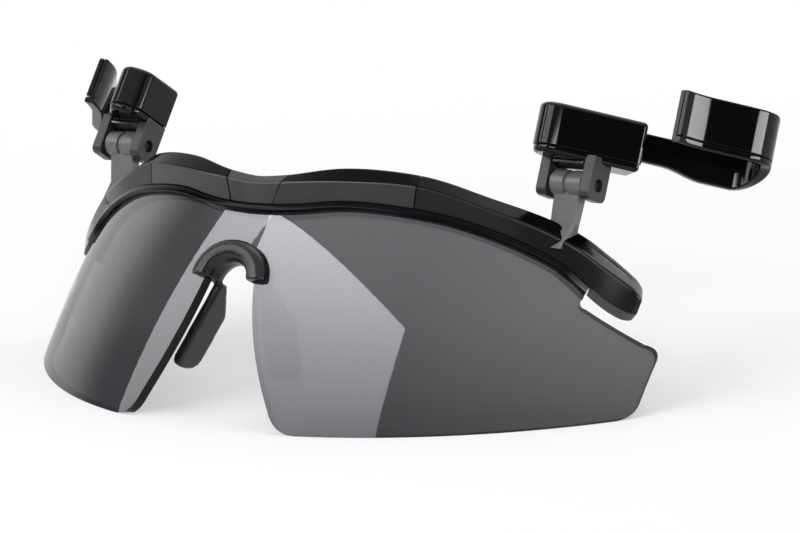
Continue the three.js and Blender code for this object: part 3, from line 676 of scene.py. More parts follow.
def lens_point(x, z, depth=0):
    """A point of the lens at a place seen from the front, so deep behind its front face."""
    point = raw_lens_point(x, z)
    return point - raw_lens_normal(point) * depth + SHIFT


@lru_cache(maxsize=None)
def brow_frame(x):
    here = raw_lens_point(x, brow_height(x))
    ahead = raw_lens_point(x + TANGENT_REACH, brow_height(x + TANGENT_REACH))
    behind = raw_lens_point(x - TANGENT_REACH, brow_height(x - TANGENT_REACH))
    tangent = (ahead - behind).normalized()
    out = square_to(tangent, raw_lens_normal(here))
    return here, out, out.cross(tangent)


def brow_point(x, forward, up):
    here, out, rise = brow_frame(x)
    return here + out * forward + rise * up + SHIFT


def smoothstep(value, low, high):
    share = min(1, max(0, (value - low) / (high - low)))
    return share * share * (3 - 2 * share)


def end_drop(x):
    """How far the brow's underside lies below the lower line's curve."""
    return -END_DROP * smoothstep(abs(x), END_DROP_START, END_DROP_END)


def stations(start, end, step=STATION_STEP):
    count = ceil(abs(end - start) / step)
    return [start + (end - start) * i / count for i in range(count + 1)]


def brow_rings(places, section, skew=lambda x, up: 0):
    return [[brow_point(x + skew(x, u), f, u) for f, u in section(x)] for x in places]


GROOVE_FRONT = SEAT_GAP
GROOVE_BACK = -LENS_THICKNESS - SEAT_GAP
GROOVE_DEPTH = RIM_HEIGHT - RIM_NECK
LENS_SEAT = GROOVE_DEPTH - LENS_SEAT_GAP
WEB_FRONT = GROOVE_FRONT - WEB_SETBACK
WEB_TOP = GROOVE_DEPTH + WEB_THICKNESS
COVER_LOW = RIM_HEIGHT + SEAT_GAP
COVER_SEAT = WEB_TOP + SEAT_GAP
COVER_INSIDE = WEB_FRONT + SEAT_GAP
RIM_END_X = CHIN_START_X - SEAT_GAP


# Lens

def lens_edges():
    """The lower and the upper edge of one half, as [x, z] points outwards from the middle."""
    lower = []
    for i in range(NOSE_ARCH_STEPS + 1):
        angle = pi / 2 * (1 - i / NOSE_ARCH_STEPS)
        rise = NOSE_ARCH_RISE * sin(angle)
        lower.append((NOSE_HALF_WIDTH * cos(angle), NOSE_SHOULDER_HEIGHT + rise))
    lower += bezier(lower[-1], INNER_EDGE_BEND, INNER_CORNER, INNER_EDGE_STEPS)
    bend = (INNER_CORNER[0] + INNER_CORNER[1] / 2, 0)
    lower += bezier(INNER_CORNER, bend, (LOWER_EDGE_START, 0), INNER_CORNER_STEPS)
    corner = LENS_HALF_WIDTH - OUTER_CORNER_RADIUS
    lower += [(x, 0) for x in stations(LOWER_EDGE_START, corner, LOWER_EDGE_STEP)[1:]]
    side = (LENS_HALF_WIDTH, OUTER_CORNER_RADIUS)
    lower += bezier((corner, 0), (LENS_HALF_WIDTH, 0), side, OUTER_CORNER_STEPS)
    upper = []
    for x in stations(0, NOTCH_X + STATION_STEP):
        point = brow_point(x, 0, LENS_SEAT + end_drop(x)) - SHIFT
        if point.x < NOTCH_X:
            upper.append((point.x, point.z))
    foot = (NOTCH_X + NOTCH_NUDGE, NOTCH_HEIGHT + NOTCH_RADIUS)
    shoulder = (NOTCH_X + NOTCH_RADIUS, NOTCH_HEIGHT - NOTCH_RADIUS / 2)
    tip = (LENS_HALF_WIDTH - TIP_RADIUS, TIP_HEIGHT + TIP_RADIUS / 2)
    upper += [(NOTCH_X, upper[-1][1]), foot]
    upper += bezier(foot, (NOTCH_X, NOTCH_HEIGHT), shoulder, OUTER_CORNER_STEPS)
    for i in range(1, TIP_SLOPE_STEPS + 1):
        upper.append(tuple(a + (b - a) * (i / TIP_SLOPE_STEPS) for a, b in zip(shoulder, tip)))
    side = (LENS_HALF_WIDTH, TIP_HEIGHT - TIP_RADIUS)
    upper += bezier(tip, (LENS_HALF_WIDTH, TIP_HEIGHT), side, OUTER_CORNER_STEPS)
    return lower, upper


def make_lens():
    lower, upper = lens_edges()
    places = sorted({round(x, 4) for x, _ in lower + upper})
    places = [-x for x in reversed(places[1:])] + places
    columns = [(x, read(lower, abs(x))[0], read(upper, abs(x))[0]) for x in places]
    points, faces = [], []
    for depth in (0, LENS_THICKNESS):
        for x, low, high in columns:
            for r in range(LENS_ROWS + 1):
                points.append(lens_point(x, low + (high - low) * r / LENS_ROWS, depth))
    tall = LENS_ROWS + 1
    back = len(columns) * tall
    for c in range(len(columns) - 1):
        for r in range(LENS_ROWS):
            here = c * tall + r
            faces.append((here, here + tall, here + tall + 1, here + 1))
            faces.append((back + here, back + here + 1, back + here + tall + 1, back + here + tall))
    tones = [0] * len(faces)
    rim = [c * tall for c in range(len(columns))]
    rim += [(len(columns) - 1) * tall + r for r in range(1, tall)]
    rim += [c * tall + LENS_ROWS for c in reversed(range(len(columns) - 1))]
    rim += reversed(range(1, LENS_ROWS))
    for here, on in zip(rim, rim[1:] + rim[:1]):
        faces.append((here, back + here, back + on, on))
    tones += [1] * len(rim)
    floored = [Vector((p.x, p.y, max(p.z, 0))) for p in points]
    piece("lens", floored, faces, [LENS, EDGE], "frame", "lens", tones)


# Brow

def rim_section(x):
    outline = rounded([
        (GROOVE_BACK - RIM_LIP, 0, RIM_EDGE),
        (GROOVE_BACK, 0, GROOVE_EDGE),
        (GROOVE_BACK, GROOVE_DEPTH, 0),
        (GROOVE_FRONT, GROOVE_DEPTH, 0),
        (GROOVE_FRONT, 0, GROOVE_EDGE),
        (GROOVE_FRONT + RIM_LIP, 0, RIM_FRONT_EDGE),
        (GROOVE_FRONT + RIM_LIP, RIM_HEIGHT, RIM_EDGE),
        (WEB_FRONT, RIM_HEIGHT, 0),
        (WEB_FRONT, WEB_TOP, 0),
        (GROOVE_BACK - RIM_LIP, WEB_TOP, RIM_EDGE),
    ])
    return [(f, u + end_drop(x)) for f, u in outline]


CORNER_STEPS = 5


def cover_section(x):
    crease_forward, crease_up, ridge_forward, ridge_up = read(PROFILE_CURVE, abs(x))
    low = COVER_LOW + end_drop(x)
    seat = COVER_SEAT + end_drop(x) if abs(x) < CHIN_START_X else low
    return rounded([
        (BROW_FRONT, low, COVER_EDGE),
        (crease_forward, crease_up, CREASE_EDGE),
        (ridge_forward, ridge_up, RIDGE_EDGE),
        (-RIDGE_BACK, ridge_up - SEAT_GAP, RIDGE_BACK_EDGE),
        (-BROW_BACK, min(crease_up, ridge_up - RIM_LIP), BROW_BACK_EDGE),
        (-BROW_BACK, seat, COVER_EDGE),
        (COVER_INSIDE, seat, 0),
        (COVER_INSIDE, low, 0),
    ], CORNER_STEPS)


# Looks of a brow piece's faces: 0 on the underside, 1 on the front face up to the crease, 2 on the rest
UNDER, FACE, REST = 0, 1, 2
UNDER_CORNER = 5  # of cover_section, where the underside starts


def brow_tones(rings):
    per_corner = CORNER_STEPS + 1
    middle = per_corner // 2
    around = [REST] * len(rings[0])
    for k in range(UNDER_CORNER * per_corner + middle, len(around)):
        around[k] = UNDER
    for k in range(middle):
        around[k] = UNDER
    for k in range(middle, per_corner + middle):
        around[k] = FACE
    return around * (len(rings) - 1) + [REST, REST]


def brow_piece(node, rings, looks):
    return piece(node, *loft(rings), looks, "frame", "satin_black", brow_tones(rings))


def make_brow():
    rim = loft(brow_rings(stations(-RIM_END_X, RIM_END_X), rim_section))
    made = piece("brow_rim", *rim, [WALL], "frame", "gloss_black")
    soften(made, RIM_BEVEL, RIM_BEVEL_ANGLE)

    def bridge_skew(x, up):
        return BRIDGE_FLARE * (up - COVER_LOW) * x / BRIDGE_HALF_WIDTH

    bridge = brow_rings(stations(-BRIDGE_HALF_WIDTH, BRIDGE_HALF_WIDTH), cover_section, bridge_skew)
    soften(brow_piece("bridge_cover", bridge, [SATIN, SATIN, SATIN]), COVER_BEVEL)
    for name, sign, _ in SIDES:
        make_cover(name, sign)
        make_arm(name, sign)


def make_cover(name, sign):
    start = BRIDGE_HALF_WIDTH + BROW_SEAM
    end = OUTER_SEAM_X - BROW_SEAM / 2

    def skew(x, up):
        return sign * BRIDGE_FLARE * (up - COVER_LOW) * (end - abs(x)) / (end - start)

    rings = brow_rings(stations(sign * start, sign * end), cover_section, skew)
    soften(brow_piece(f"brow_cover_{name}", rings, [SATIN, SATIN, WALL]), COVER_BEVEL)
    make_seam(f"brow_cover_{name}", "inner", sign, BRIDGE_HALF_WIDTH + BROW_SEAM / 2, BRIDGE_FLARE)
    make_seam(f"brow_cover_{name}", "outer", sign, OUTER_SEAM_X, 0)


def make_seam(node, end, sign, middle, flare):
    """A dark web inside a seam of the brow, so that no light shows through it."""
    def section(x):
        return drawn_in(cover_section(x), SEAM_SHARE)

    def skew(x, up):
        return sign * flare * (up - COVER_LOW)

    places = [sign * (middle - SEAM_REACH), sign * (middle + SEAM_REACH)]
    web = loft(brow_rings(places, section, skew))
    piece(node, *web, [WALL], "frame", "satin_black", part=f"{end}_seam")


def top_slot(sign):
    """A thin groove along the slope between the crease and the ridge of an arm's outer end."""
    rings = []
    for x in stations(SLOT_START, SLOT_END):
        crease_forward, crease_up, ridge_forward, ridge_up = read(PROFILE_CURVE, x)
        along = Vector((ridge_forward - crease_forward, ridge_up - crease_up)).normalized()
        middle = Vector((ridge_forward, ridge_up)) - along * SLOT_BELOW
        out = Vector((-along.y, along.x)) * (1 if along.x < 0 else -1)
        share = (x - SLOT_START) / (SLOT_END - SLOT_START)
        wave = SLOT_TAPER + (1 - 2 * SLOT_TAPER) * share
        half = along * (SLOT_WIDTH / 2 * sin(pi * wave))
        deep = -out * SLOT_DEPTH
        corners = [middle - half + out, middle + half + out, middle + half + deep, middle - half + deep]
        rings.append([brow_point(sign * x, *corner) for corner in corners])
    return loft(rings)


def drawn_in(outline, kept):
    """An outline drawn together towards its middle."""
    middle = [sum(values) / len(outline) for values in zip(*outline)]
    return [tuple(m + (p - m) * kept for m, p in zip(middle, point)) for point in outline]


def arm_section(x):
    """The cover's section, drawn together at the arm's tip."""
    outline = cover_section(x)
    share = max(0, abs(x) - (ARM_TIP_X - TIP_LENGTH)) / TIP_LENGTH
    return drawn_in(outline, 1 - TIP_SHRINK * (1 - sqrt(max(0, 1 - share * share))))


def make_arm(name, sign):
    inner = stations(OUTER_SEAM_X + BROW_SEAM / 2, CHIN_START_X - SEAT_GAP / 2)
    outer = stations(CHIN_START_X, ARM_TIP_X - TIP_LENGTH, ARM_END_STEP)
    turns = [pi / 2 * i / TIP_STEPS for i in range(1, TIP_STEPS + 1)]
    tip = [ARM_TIP_X - TIP_LENGTH * (1 - sin(turn)) for turn in turns]
    rings = brow_rings([sign * x for x in inner + outer + tip], arm_section)
    made = brow_piece(f"brow_arm_{name}", rings, [SATIN, ARM, WALL])
    cut(made, [*post_leg(sign, POST_SEAM, 0), top_slot(sign)])
    soften(made, ARM_BEVEL)


# Nose piece

def nose_arch(angle, forward, away):
    x = NOSE_HALF_WIDTH * cos(angle) + away * cos(angle)
    z = NOSE_SHOULDER_HEIGHT + NOSE_ARCH_RISE * sin(angle) + away * sin(angle)
    return lens_point(x, z, -forward)


def saddle():
    front, back = GROOVE_FRONT, GROOVE_BACK
    rings = []
    for i in range(SADDLE_STEPS + 1):
        angle = pi * i / SADDLE_STEPS
        reach = SADDLE_REACH_TOP + (SADDLE_REACH_ENDS - SADDLE_REACH_TOP) * cos(angle) ** 2
        section = rounded([
            (front + SADDLE_FRONT, -SADDLE_INSIDE / 2, SADDLE_FRONT_EDGE),
            (front + SADDLE_FRONT, reach / 2, SADDLE_SIDE_EDGE),
            (front + SADDLE_FRONT / 2, reach, SADDLE_EDGE),
            (front, reach, 0),
            (front, -SEAT_GAP, 0),
            (back, -SEAT_GAP, 0),
            (back, reach, 0),
            (back - SADDLE_BACK, reach / 2, SADDLE_BACK_EDGE),
            (back - SADDLE_BACK, -SADDLE_INSIDE / 2, SADDLE_SIDE_EDGE),
            (back, -SADDLE_INSIDE, SADDLE_EDGE),
            (front, -SADDLE_INSIDE, SADDLE_EDGE),
        ])
        rings.append([nose_arch(angle, f, r) for f, r in section])
    return loft(rings)


def nose_pad(sign):
    corners = [(0, 0), (PAD_NECK, 0), (PAD_DEPTH, PAD_WIDE_FROM), (PAD_DEPTH, PAD_LENGTH), (0, PAD_LENGTH)]
    outline = rounded([(*corner, radius) for corner, radius in zip(corners, PAD_RADII)], PAD_STEPS)
    top = raw_lens_point(NOSE_HALF_WIDTH, NOSE_SHOULDER_HEIGHT)
    down = (raw_lens_point(*INNER_CORNER) - top).normalized()
    deep = square_to(down, Vector((sin(PAD_SPLAY), cos(PAD_SPLAY), 0)))
    across = deep.cross(down)
    behind = LENS_THICKNESS + SEAT_GAP + PAD_THICKNESS / 2
    origin = top - raw_lens_normal(top) * behind - Vector((PAD_INSET, 0, 0))
    rings = []
    for side in (-PAD_THICKNESS / 2, PAD_THICKNESS / 2):
        ring = [origin + deep * u + down * v + across * side for u, v in outline]
        rings.append([side_place(sign, p) + SHIFT for p in ring])
    return loft(rings)


def make_nose_piece():
    shape = joined(saddle(), nose_pad(1), nose_pad(-1))
    made = piece("nose_piece", *shape, [RUBBER], "frame", "soft_rubber")
    skin = made.modifiers.new("one_skin", "REMESH")
    skin.mode = "VOXEL"
    skin.voxel_size = NOSE_VOXEL * MM
    soft = made.modifiers.new("soft", "SMOOTH")
    soft.factor = NOSE_SMOOTHING
    soft.iterations = NOSE_SMOOTHING_ROUNDS
    evaluated(made)
    made.data.shade_smooth()


# Hinge posts

def side_place(sign, point):
    return Vector((sign * point.x, point.y, point.z))


def post_foot():
    low, high = HINGE_X - FOOT_SEARCH, HINGE_X + FOOT_SEARCH
    for _ in range(SEARCH_ROUNDS):
        middle = (low + high) / 2
        if brow_point(middle, *POST_FOOT).x < HINGE_X - FOOT_INWARD:
            low = middle
        else:
            high = middle
    return brow_point(low, *POST_FOOT)


def post_halves(share):
    """The post's half width and half thickness at a share of the way from the pin to the foot."""
    width = POST_WIDTH + (FOOT_WIDTH - POST_WIDTH) * share
    thickness = POST_THICKNESS + (FOOT_THICKNESS - POST_THICKNESS) * share
    return width / 2, thickness / 2


def post_bar(sign, ends, gap, radius):
    """A bar along the post, grown by a gap. Each end is its share of the way, its sides, back and front."""
    way = post_foot() - PIN
    ahead = Vector((0, way.z, -way.y)).normalized()
    rings = []
    for share, left, right, back, front in ends:
        middle = PIN + way * (share if share < 1 else 1 + gap / way.length)
        outline = rounded([
            (left - gap, back - gap, radius),
            (right + gap, back - gap, radius),
            (right + gap, front + gap, radius),
            (left - gap, front + gap, radius),
        ])
        rings.append([side_place(sign, middle + Vector((x, 0, 0)) + ahead * f) for x, f in outline])
    return loft(rings)


def post_leg(sign, gap, radius):
    """The post's leg and the tongue on its front."""
    leg, tongue = [], []
    for share in (KNUCKLE_RADIUS / 2 / (PIN_RISE + PIN_SETBACK), 1):
        width, thickness = post_halves(share)
        leg.append((share, -width, width, -thickness, thickness))
    for share, reach in ((TONGUE_START, 0), (1, TONGUE_REACH)):
        width, thickness = post_halves(share)
        tongue.append((share, width - TONGUE_WIDTH, width, -thickness, thickness + reach))
    return post_bar(sign, leg, gap, radius), post_bar(sign, tongue, gap, radius)


def turned(sign, profile):
    """A round piece about the pin, from [along the pin, radius] points of a closed profile."""
    rings = []
    for i in range(KNUCKLE_SIDES):
        angle = 2 * pi * i / KNUCKLE_SIDES
        ring = []
        for along, radius in profile:
            away = Vector((along, radius * cos(angle), radius * sin(angle)))
            ring.append(side_place(sign, PIN + away))
        rings.append(ring)
    points, faces = loft(rings + rings[:1])
    return points, faces[:-2]


def make_post(name, sign):
    half = EAR_SPACE / 2 - SIDE_PLAY
    groove = KNUCKLE_GROOVE_WIDTH / 2
    waist = KNUCKLE_RADIUS - KNUCKLE_GROOVE_DEPTH
    knuckle = turned(sign, rounded([
        (-half, BORE_RADIUS, 0),
        (-half, KNUCKLE_RADIUS, KNUCKLE_EDGE),
        (-groove, KNUCKLE_RADIUS, KNUCKLE_GROOVE_EDGE),
        (-groove, waist, 0),
        (groove, waist, 0),
        (groove, KNUCKLE_RADIUS, KNUCKLE_GROOVE_EDGE),
        (half, KNUCKLE_RADIUS, KNUCKLE_EDGE),
        (half, BORE_RADIUS, 0),
    ]))
    legs = post_leg(sign, 0, POST_EDGE)
    piece(f"hinge_post_{name}", *joined(knuckle, *legs), [POST], "frame", "post_grey")


# Clips

def clip_place(side, x, y, z):
    """A place in the clip's own upright frame, round the pin's middle: x outwards, y back, z up."""
    _, sign, lean = side
    turn = radians(lean)
    across = y * cos(turn) + z * sin(turn)
    rise = z * cos(turn) - y * sin(turn)
    return Vector((sign * (PIN.x + x), PIN.y + across, PIN.z + rise))


def on_clip(along, ahead):
    x = along * cos(CLIP_SPLAY) + ahead * sin(CLIP_SPLAY)
    y = along * sin(CLIP_SPLAY) - ahead * cos(CLIP_SPLAY)
    return x, y


YOKE_HALF = EAR_SPACE / 2 + EAR_THICKNESS
HOUSING_BASE = BASE_HEIGHT + BASE_THICKNESS + SEAT_GAP
STRIP_AHEAD = HOUSING_FRONT - STRIP_SETBACK
STRIP_LOW = HOUSING_BASE + (HOUSING_HEIGHT - STRIP_HEIGHT) / 2
STRIP_HIGH = STRIP_LOW + STRIP_HEIGHT
STRIP_FRONT = STRIP_AHEAD + STRIP_THICKNESS / 2
STRIP_BACK = STRIP_AHEAD - STRIP_THICKNESS / 2
CAVITY_FRONT = HOUSING_FRONT - HOUSING_WALL
CAVITY_END = HOUSING_END - HOUSING_WALL - HOUSING_EDGE


def housing_outline(inset):
    facet = -YOKE_HALF + inset
    front = HOUSING_FRONT - inset
    start = -HOUSING_START + inset
    end = HOUSING_END - inset
    end_back = HOUSING_FRONT - HOUSING_END_DEPTH + inset
    facet_front = (facet - start * cos(CLIP_SPLAY)) / sin(CLIP_SPLAY)
    edge = max(HOUSING_EDGE - inset, LEAST_RADIUS)
    return rounded([
        (*on_clip(start, facet_front), HOUSING_CHEEK_RADIUS - inset),
        (*on_clip(start, front), HOUSING_NOSE_RADIUS - inset),
        (*on_clip(end, front), edge),
        (*on_clip(end, end_back), edge),
        (facet, EAR_BACK - inset, edge),
    ], HOUSING_CURVE_STEPS, HOUSING_CURVE_SHARE)


def slab(side, low, high, inset, low_edge, high_edge):
    """A plate with the housing's outline and rounded rims."""
    rings = []
    for start, edge, way in ((low, low_edge, 1), (high, high_edge, -1)):
        for i in range(EDGE_STEPS + 1):
            angle = pi / 2 * i / EDGE_STEPS
            height = start + way * edge * (1 - cos(angle))
            rings.append((height, inset + edge * (1 - sin(angle))))
    rings.sort()
    return loft([[clip_place(side, x, y, z) for x, y in housing_outline(within)] for z, within in rings])


def clip_box(side, along, ahead, up):
    rings = []
    for z in up:
        corners = [(along[0], ahead[0]), (along[1], ahead[0]), (along[1], ahead[1]), (along[0], ahead[1])]
        rings.append([clip_place(side, *on_clip(s, d), z) for s, d in corners])
    return loft(rings)


def bar(side, outline, start, end):
    """A bar along the pin with a [y, z] outline."""
    return loft([[clip_place(side, x, y, z) for y, z in outline] for x in (start, end)])


def ear(side, start):
    """An ear, not yet bored for the pin, from start outwards along it."""
    outline = rounded([
        (-EAR_FRONT, BASE_HEIGHT + BASE_THICKNESS, LEAST_RADIUS),
        (-EAR_FRONT, -EAR_DROP, EAR_RADIUS),
        (EAR_BACK, -EAR_DROP, EAR_RADIUS),
        (EAR_BACK, BASE_HEIGHT + BASE_THICKNESS, LEAST_RADIUS),
    ], EAR_STEPS)
    return bar(side, outline, start, start + EAR_THICKNESS)


def make_base(side):
    name = side[0]
    node = f"clip_base_{name}"
    plate = slab(side, BASE_HEIGHT, HOUSING_BASE - PLATE_SEAM, BASE_INSET, PLATE_EDGE, SEAM_EDGE)
    piece(node, *plate, [GLOSS], f"clip_{name}", "satin_black")
    pair = joined(ear(side, -YOKE_HALF), ear(side, EAR_SPACE / 2))
    ears = piece(node, *pair, [SATIN], f"clip_{name}", "satin_black", part="ears")
    turns = [2 * pi * i / BORE_SIDES for i in range(BORE_SIDES)]
    bore = [(BORE_RADIUS * cos(turn), BORE_RADIUS * sin(turn)) for turn in turns]
    cut(ears, [bar(side, bore, -2 * YOKE_HALF, 2 * YOKE_HALF)])
    soften(ears, EAR_BEVEL)


def make_housing(side):
    name = side[0]
    body = slab(side, HOUSING_BASE, HOUSING_BASE + HOUSING_HEIGHT, 0, SEAM_EDGE, HOUSING_EDGE)
    made = piece(f"clip_housing_{name}", *body, [GLOSS], f"clip_{name}", "gloss_black")
    up = (STRIP_LOW - SEAT_GAP, STRIP_HIGH + SEAT_GAP)
    cavity = clip_box(side, (-STRIP_TAIL - SEAT_GAP, CAVITY_END), (STRIP_BACK - SEAT_GAP, CAVITY_FRONT), up)
    mouth = clip_box(side, (0, HOUSING_END * 2), (STRIP_BACK - SEAT_GAP, STRIP_FRONT + SEAT_GAP), up)
    cut(made, [cavity, mouth])
    shade(made.data)


# Brim hooks

def hook_line():
    """The hook's middle line from its tail to the tab's free end: [along, ahead, climb, covered]."""
    line = [(-STRIP_TAIL, STRIP_AHEAD, 0, False)]
    flat = stations(SWELL_START - STATION_STEP, TURN_CENTRE - STATION_STEP / 2)
    line += [(s, STRIP_AHEAD, 0, False) for s in flat]
    for i in range(TURN_STEPS + 1):
        share = i / TURN_STEPS
        ahead = STRIP_AHEAD + TURN_RADIUS * (1 - cos(pi * share))
        along = TURN_CENTRE + TURN_RADIUS * sin(pi * share)
        line.append((along, ahead, smoothstep(share, 0, CLIMB_SHARE), share >= TURN_COVERED))
    tab_ahead = STRIP_AHEAD + 2 * TURN_RADIUS
    flat = stations(TURN_CENTRE - STATION_STEP, TAB_BEND + STATION_STEP)
    line += [(s, tab_ahead, 1, True) for s in flat]
    for s in stations(TAB_BEND, TAB_END):
        share = (s - TAB_BEND) / (TAB_END - TAB_BEND)
        line.append((s, tab_ahead + TAB_FLARE * share ** 2, 1, True))
    return line


def hook_rings(side, section, covered_only):
    line = hook_line()
    rings = []
    for i, (along, ahead, climb, covered) in enumerate(line):
        if covered_only and not covered:
            continue
        before, after = line[max(0, i - 1)], line[min(len(line) - 1, i + 1)]
        run = Vector((after[0] - before[0], after[1] - before[1])).normalized()
        swell = smoothstep(along, SWELL_START, SWELL_START + SWELL_LENGTH) * (1 - climb)
        low = STRIP_LOW + TAB_RISE * climb - SWELL_DEPTH * swell
        high = STRIP_HIGH + (TAB_RISE + TAB_HEIGHT - STRIP_HEIGHT) * climb
        ring = []
        for inward, up in section(low, low + COVER_SEAM, high, covered):
            s, d = along - run.y * inward, ahead + run.x * inward
            ring.append(clip_place(side, *on_clip(s, d), up))
        rings.append(ring)
    return rings


OUTSIDE = -STRIP_THICKNESS / 2
INSIDE = STRIP_THICKNESS / 2


def hook_section(low, seam, high, covered):
    step = OUTSIDE + (COVER_THICKNESS + COVER_GAP if covered else 0)
    return rounded([
        (OUTSIDE, low, STRIP_EDGE),
        (INSIDE, low, STRIP_EDGE),
        (INSIDE, high, STRIP_EDGE),
        (step, high, STEP_EDGE),
        (step, seam, 0),
        (OUTSIDE, seam, STRIP_SEAM_EDGE),
    ])


def hook_cover_section(low, seam, high, covered):
    """The cover's section, which is given the same places as the hook's."""
    inner = OUTSIDE + COVER_THICKNESS
    return rounded([
        (OUTSIDE, seam + COVER_GAP, COVER_SEAM_EDGE),
        (inner, seam + COVER_GAP, 0),
        (inner, high, STEP_EDGE),
        (OUTSIDE, high, COVER_TOP_EDGE),
    ])


def make_hook(side):
    name = side[0]
    body = f"hook_{name}"
    hook = loft(hook_rings(side, hook_section, False))
    lug_along = (-STRIP_TAIL, LUG_LENGTH - STRIP_TAIL)
    lug = clip_box(side, lug_along, (STRIP_AHEAD, CAVITY_FRONT - SEAT_GAP), (STRIP_LOW, STRIP_HIGH))
    made = piece(f"brim_hook_{name}", *joined(hook, lug), [GLOSS], body, "gloss_black")
    soften(made, HOOK_BEVEL)
    cover = loft(hook_rings(side, hook_cover_section, True)[1:])
    shell = piece(f"hook_cover_{name}", *cover, [GLOSS], body, "gloss_black")
    soften(shell, HOOK_BEVEL)


# Return springs

def make_spring(side):
    """A coil between the hook's lug and the housing's end, made at rest on the clip; the real one shortens
    as the hook is pulled out.
    """
    name = side[0]
    start = LUG_LENGTH - STRIP_TAIL + SEAT_GAP + SPRING_WIRE / 2
    length = CAVITY_END - SEAT_GAP - SPRING_WIRE / 2 - start
    ahead = (STRIP_FRONT + CAVITY_FRONT) / 2
    up = (STRIP_LOW + STRIP_HIGH) / 2
    steps = SPRING_CURLS * CURL_STEPS
    rings = []
    for i in range(steps + 1):
        angle = 2 * pi * i / CURL_STEPS
        ring = []
        for k in range(WIRE_SIDES):
            turn = 2 * pi * k / WIRE_SIDES
            along = start + length * i / steps + SPRING_WIRE / 2 * sin(turn)
            out = SPRING_RADIUS + SPRING_WIRE / 2 * cos(turn)
            place = on_clip(along, ahead - out * cos(angle))
            ring.append(clip_place(side, *place, up + out * sin(angle)))
        rings.append(ring)
    coil = piece(f"return_spring_{name}", *loft(rings), [SHADED_STEEL], f"clip_{name}", "steel", part="coil")
    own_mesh(coil)


make_lens()
make_brow()
make_nose_piece()
for each in SIDES:
    make_post(each[0], each[1])
    make_base(each)
    make_housing(each)
    make_hook(each)
    make_spring(each)
settle_normals()
for node, look in (("hinge_pin", DARK_PIN), ("detent_leaf", SHADED_STEEL)):
    for name, _, _ in SIDES:
        kept = frame["nodes"][f"{node}_{name}"]
        kept.data.materials.clear()
        kept.data.materials.append(look)


# Studio: a pale floor, a white surround, soft lamps and the camera

def shown_white(tree):
    """1 where the eye, a reflection or the view through the lens meets a surface."""
    path = add(tree, "LightPath").outputs
    seen = worked(tree, "MAXIMUM", path["Is Camera Ray"], path["Is Glossy Ray"])
    return worked(tree, "MAXIMUM", seen, path["Is Transmission Ray"])


def mirrored_room(tree):
    """What the surfaces mirror: a white sweep behind the object, a white ceiling and a dark room ahead."""
    whites = []
    for axis, start, end in (WHITE_SWEEP, WHITE_CEILING):
        whites.append(ranged(tree, coordinate(tree, "Generated", axis), start, end, smooth=True))
    return worked(tree, "MAXIMUM", *whites)


def make_world():
    world = bpy.data.worlds.new("studio")
    world.use_nodes = True
    tree = world.node_tree
    sky = tree.nodes["Background"]
    sky.inputs["Color"].default_value = WHITE
    path = add(tree, "LightPath").outputs
    seen = worked(tree, "MAXIMUM", path["Is Camera Ray"], path["Is Transmission Ray"])
    level = add(tree, "Mix")
    tree.links.new(path["Is Glossy Ray"], level.inputs["Factor"])
    tree.links.new(ranged(tree, seen, 0, 1, FILL_LIGHT, 1), level.inputs["A"])
    tree.links.new(mirrored_room(tree), level.inputs["B"])
    tree.links.new(level.outputs["Result"], sky.inputs["Strength"])
    bpy.context.scene.world = world


def make_floor():
    """White paint near the object, which takes its shadow, and a plain white glow further off."""
    mesh = bpy.data.meshes.new("floor")
    corners = [(-1, -1), (1, -1), (1, 1), (-1, 1)]
    mesh.from_pydata([(x * FLOOR_REACH, y * FLOOR_REACH, 0) for x, y in corners], [], [(0, 1, 2, 3)])
    floor = add_object("floor", mesh)
    floor.location.z = -FLOOR_DROP
    look, tree, shader = start_material("white_floor")
    tree.nodes.remove(shader)
    paint = add(tree, "BsdfDiffuse", Color=FLOOR_PAINT)
    glow = add(tree, "Emission", Color=WHITE)
    away = add(tree, "VectorMath")
    away.operation = "LENGTH"
    tree.links.new(add(tree, "TexCoord").outputs["Object"], away.inputs[0])
    clear = ranged(tree, away.outputs["Value"], *FLOOR_GLOW_REACH, *FLOOR_GLOW, smooth=True)
    share = worked(tree, "MULTIPLY", shown_white(tree), clear)
    mix = add(tree, "MixShader")
    for value, socket in zip((share, paint.outputs[0], glow.outputs[0]), mix.inputs):
        tree.links.new(value, socket)
    tree.links.new(mix.outputs[0], tree.nodes["Material Output"].inputs["Surface"])
    mesh.materials.append(look)


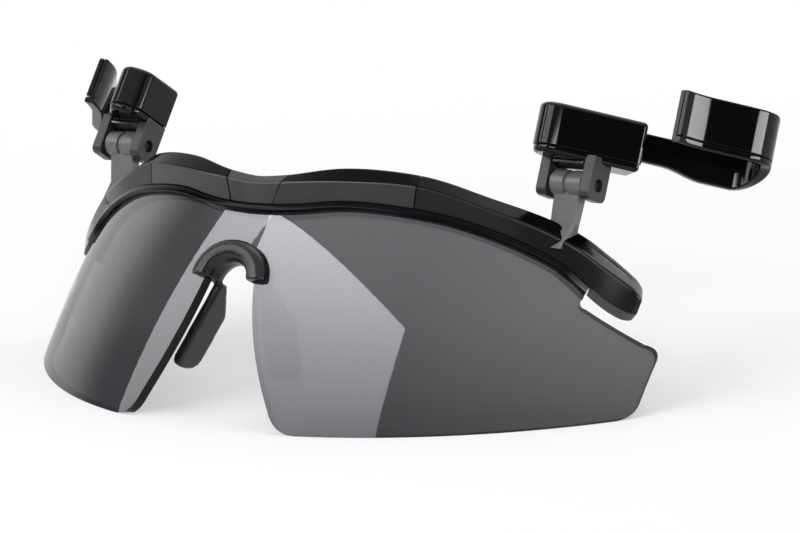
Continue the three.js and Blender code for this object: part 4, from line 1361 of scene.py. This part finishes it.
def stand(made, place, right, up, away):
    """Puts a lamp or camera at a place, looking the other way from away."""
    axes = Matrix((right, up, away)).transposed().to_4x4()
    made.matrix_world = Matrix.Translation(place) @ axes


def lamp(name, place, facing, up, width, height, level):
    """A soft box that faces the other way from facing; level is its brightness where white is 1."""
    light = bpy.data.lights.new(name, "AREA")
    light.shape = "RECTANGLE"
    light.size = width
    light.size_y = height
    light.energy = level * pi * width * height
    away = Vector(facing).normalized()
    rise = square_to(away, Vector(up))
    stand(add_object(name, light), Vector(place), rise.cross(away), rise, away)


def towards(azimuth, elevation, distance=1.0):
    """A place round the object: azimuth in degrees from the front towards the wearer's left."""
    turn, rise = radians(azimuth), radians(elevation)
    flat = distance * cos(rise)
    return Vector((flat * sin(turn), -flat * cos(turn), distance * sin(rise)))


def strip(name, start, end, height, level):
    """A long soft box from one [azimuth, elevation] to another, facing the object."""
    first, last = towards(*start, STRIP_DISTANCE), towards(*end, STRIP_DISTANCE)
    middle = (first + last) / 2
    run = last - first
    lamp(name, middle, middle, middle.cross(run), run.length, height, level)


def make_camera():
    view = bpy.data.cameras.new("camera")
    view.sensor_width = SENSOR_WIDTH
    view.lens = FOCAL_LENGTH
    view.clip_end = CLIP_END
    camera = add_object("camera", view)
    right = Vector(CAMERA_RIGHT).normalized()
    up = square_to(right, Vector(CAMERA_UP))
    stand(camera, Vector(CAMERA_PLACE) * MM, right, up, right.cross(up))
    bpy.context.scene.camera = camera


make_world()
make_floor()
lamp("front", place=(-0.313, -0.958, 0.695), facing=towards(-17, 39.6), up=(0, 0, 1),
     width=0.99, height=0.575, level=5.2)
lamp("left", place=(-0.935, -0.523, 0.529), facing=(-0.803, -0.465, 0.372), up=(0.416, 0.009, 0.909),
     width=0.262, height=0.884, level=3.9)
strip("low", start=(28, 28.3), end=(57, 22.5), height=0.19, level=14)
strip("right", start=(78, 13), end=(113, 2.5), height=0.28, level=18)
lamp("top", place=(0, 0.45, 1.1), facing=(0, 0.45, 1.1), up=(0, 1, 0), width=1, height=1, level=1.8)
make_camera()
bpy.context.scene.view_settings.view_transform = "Standard"
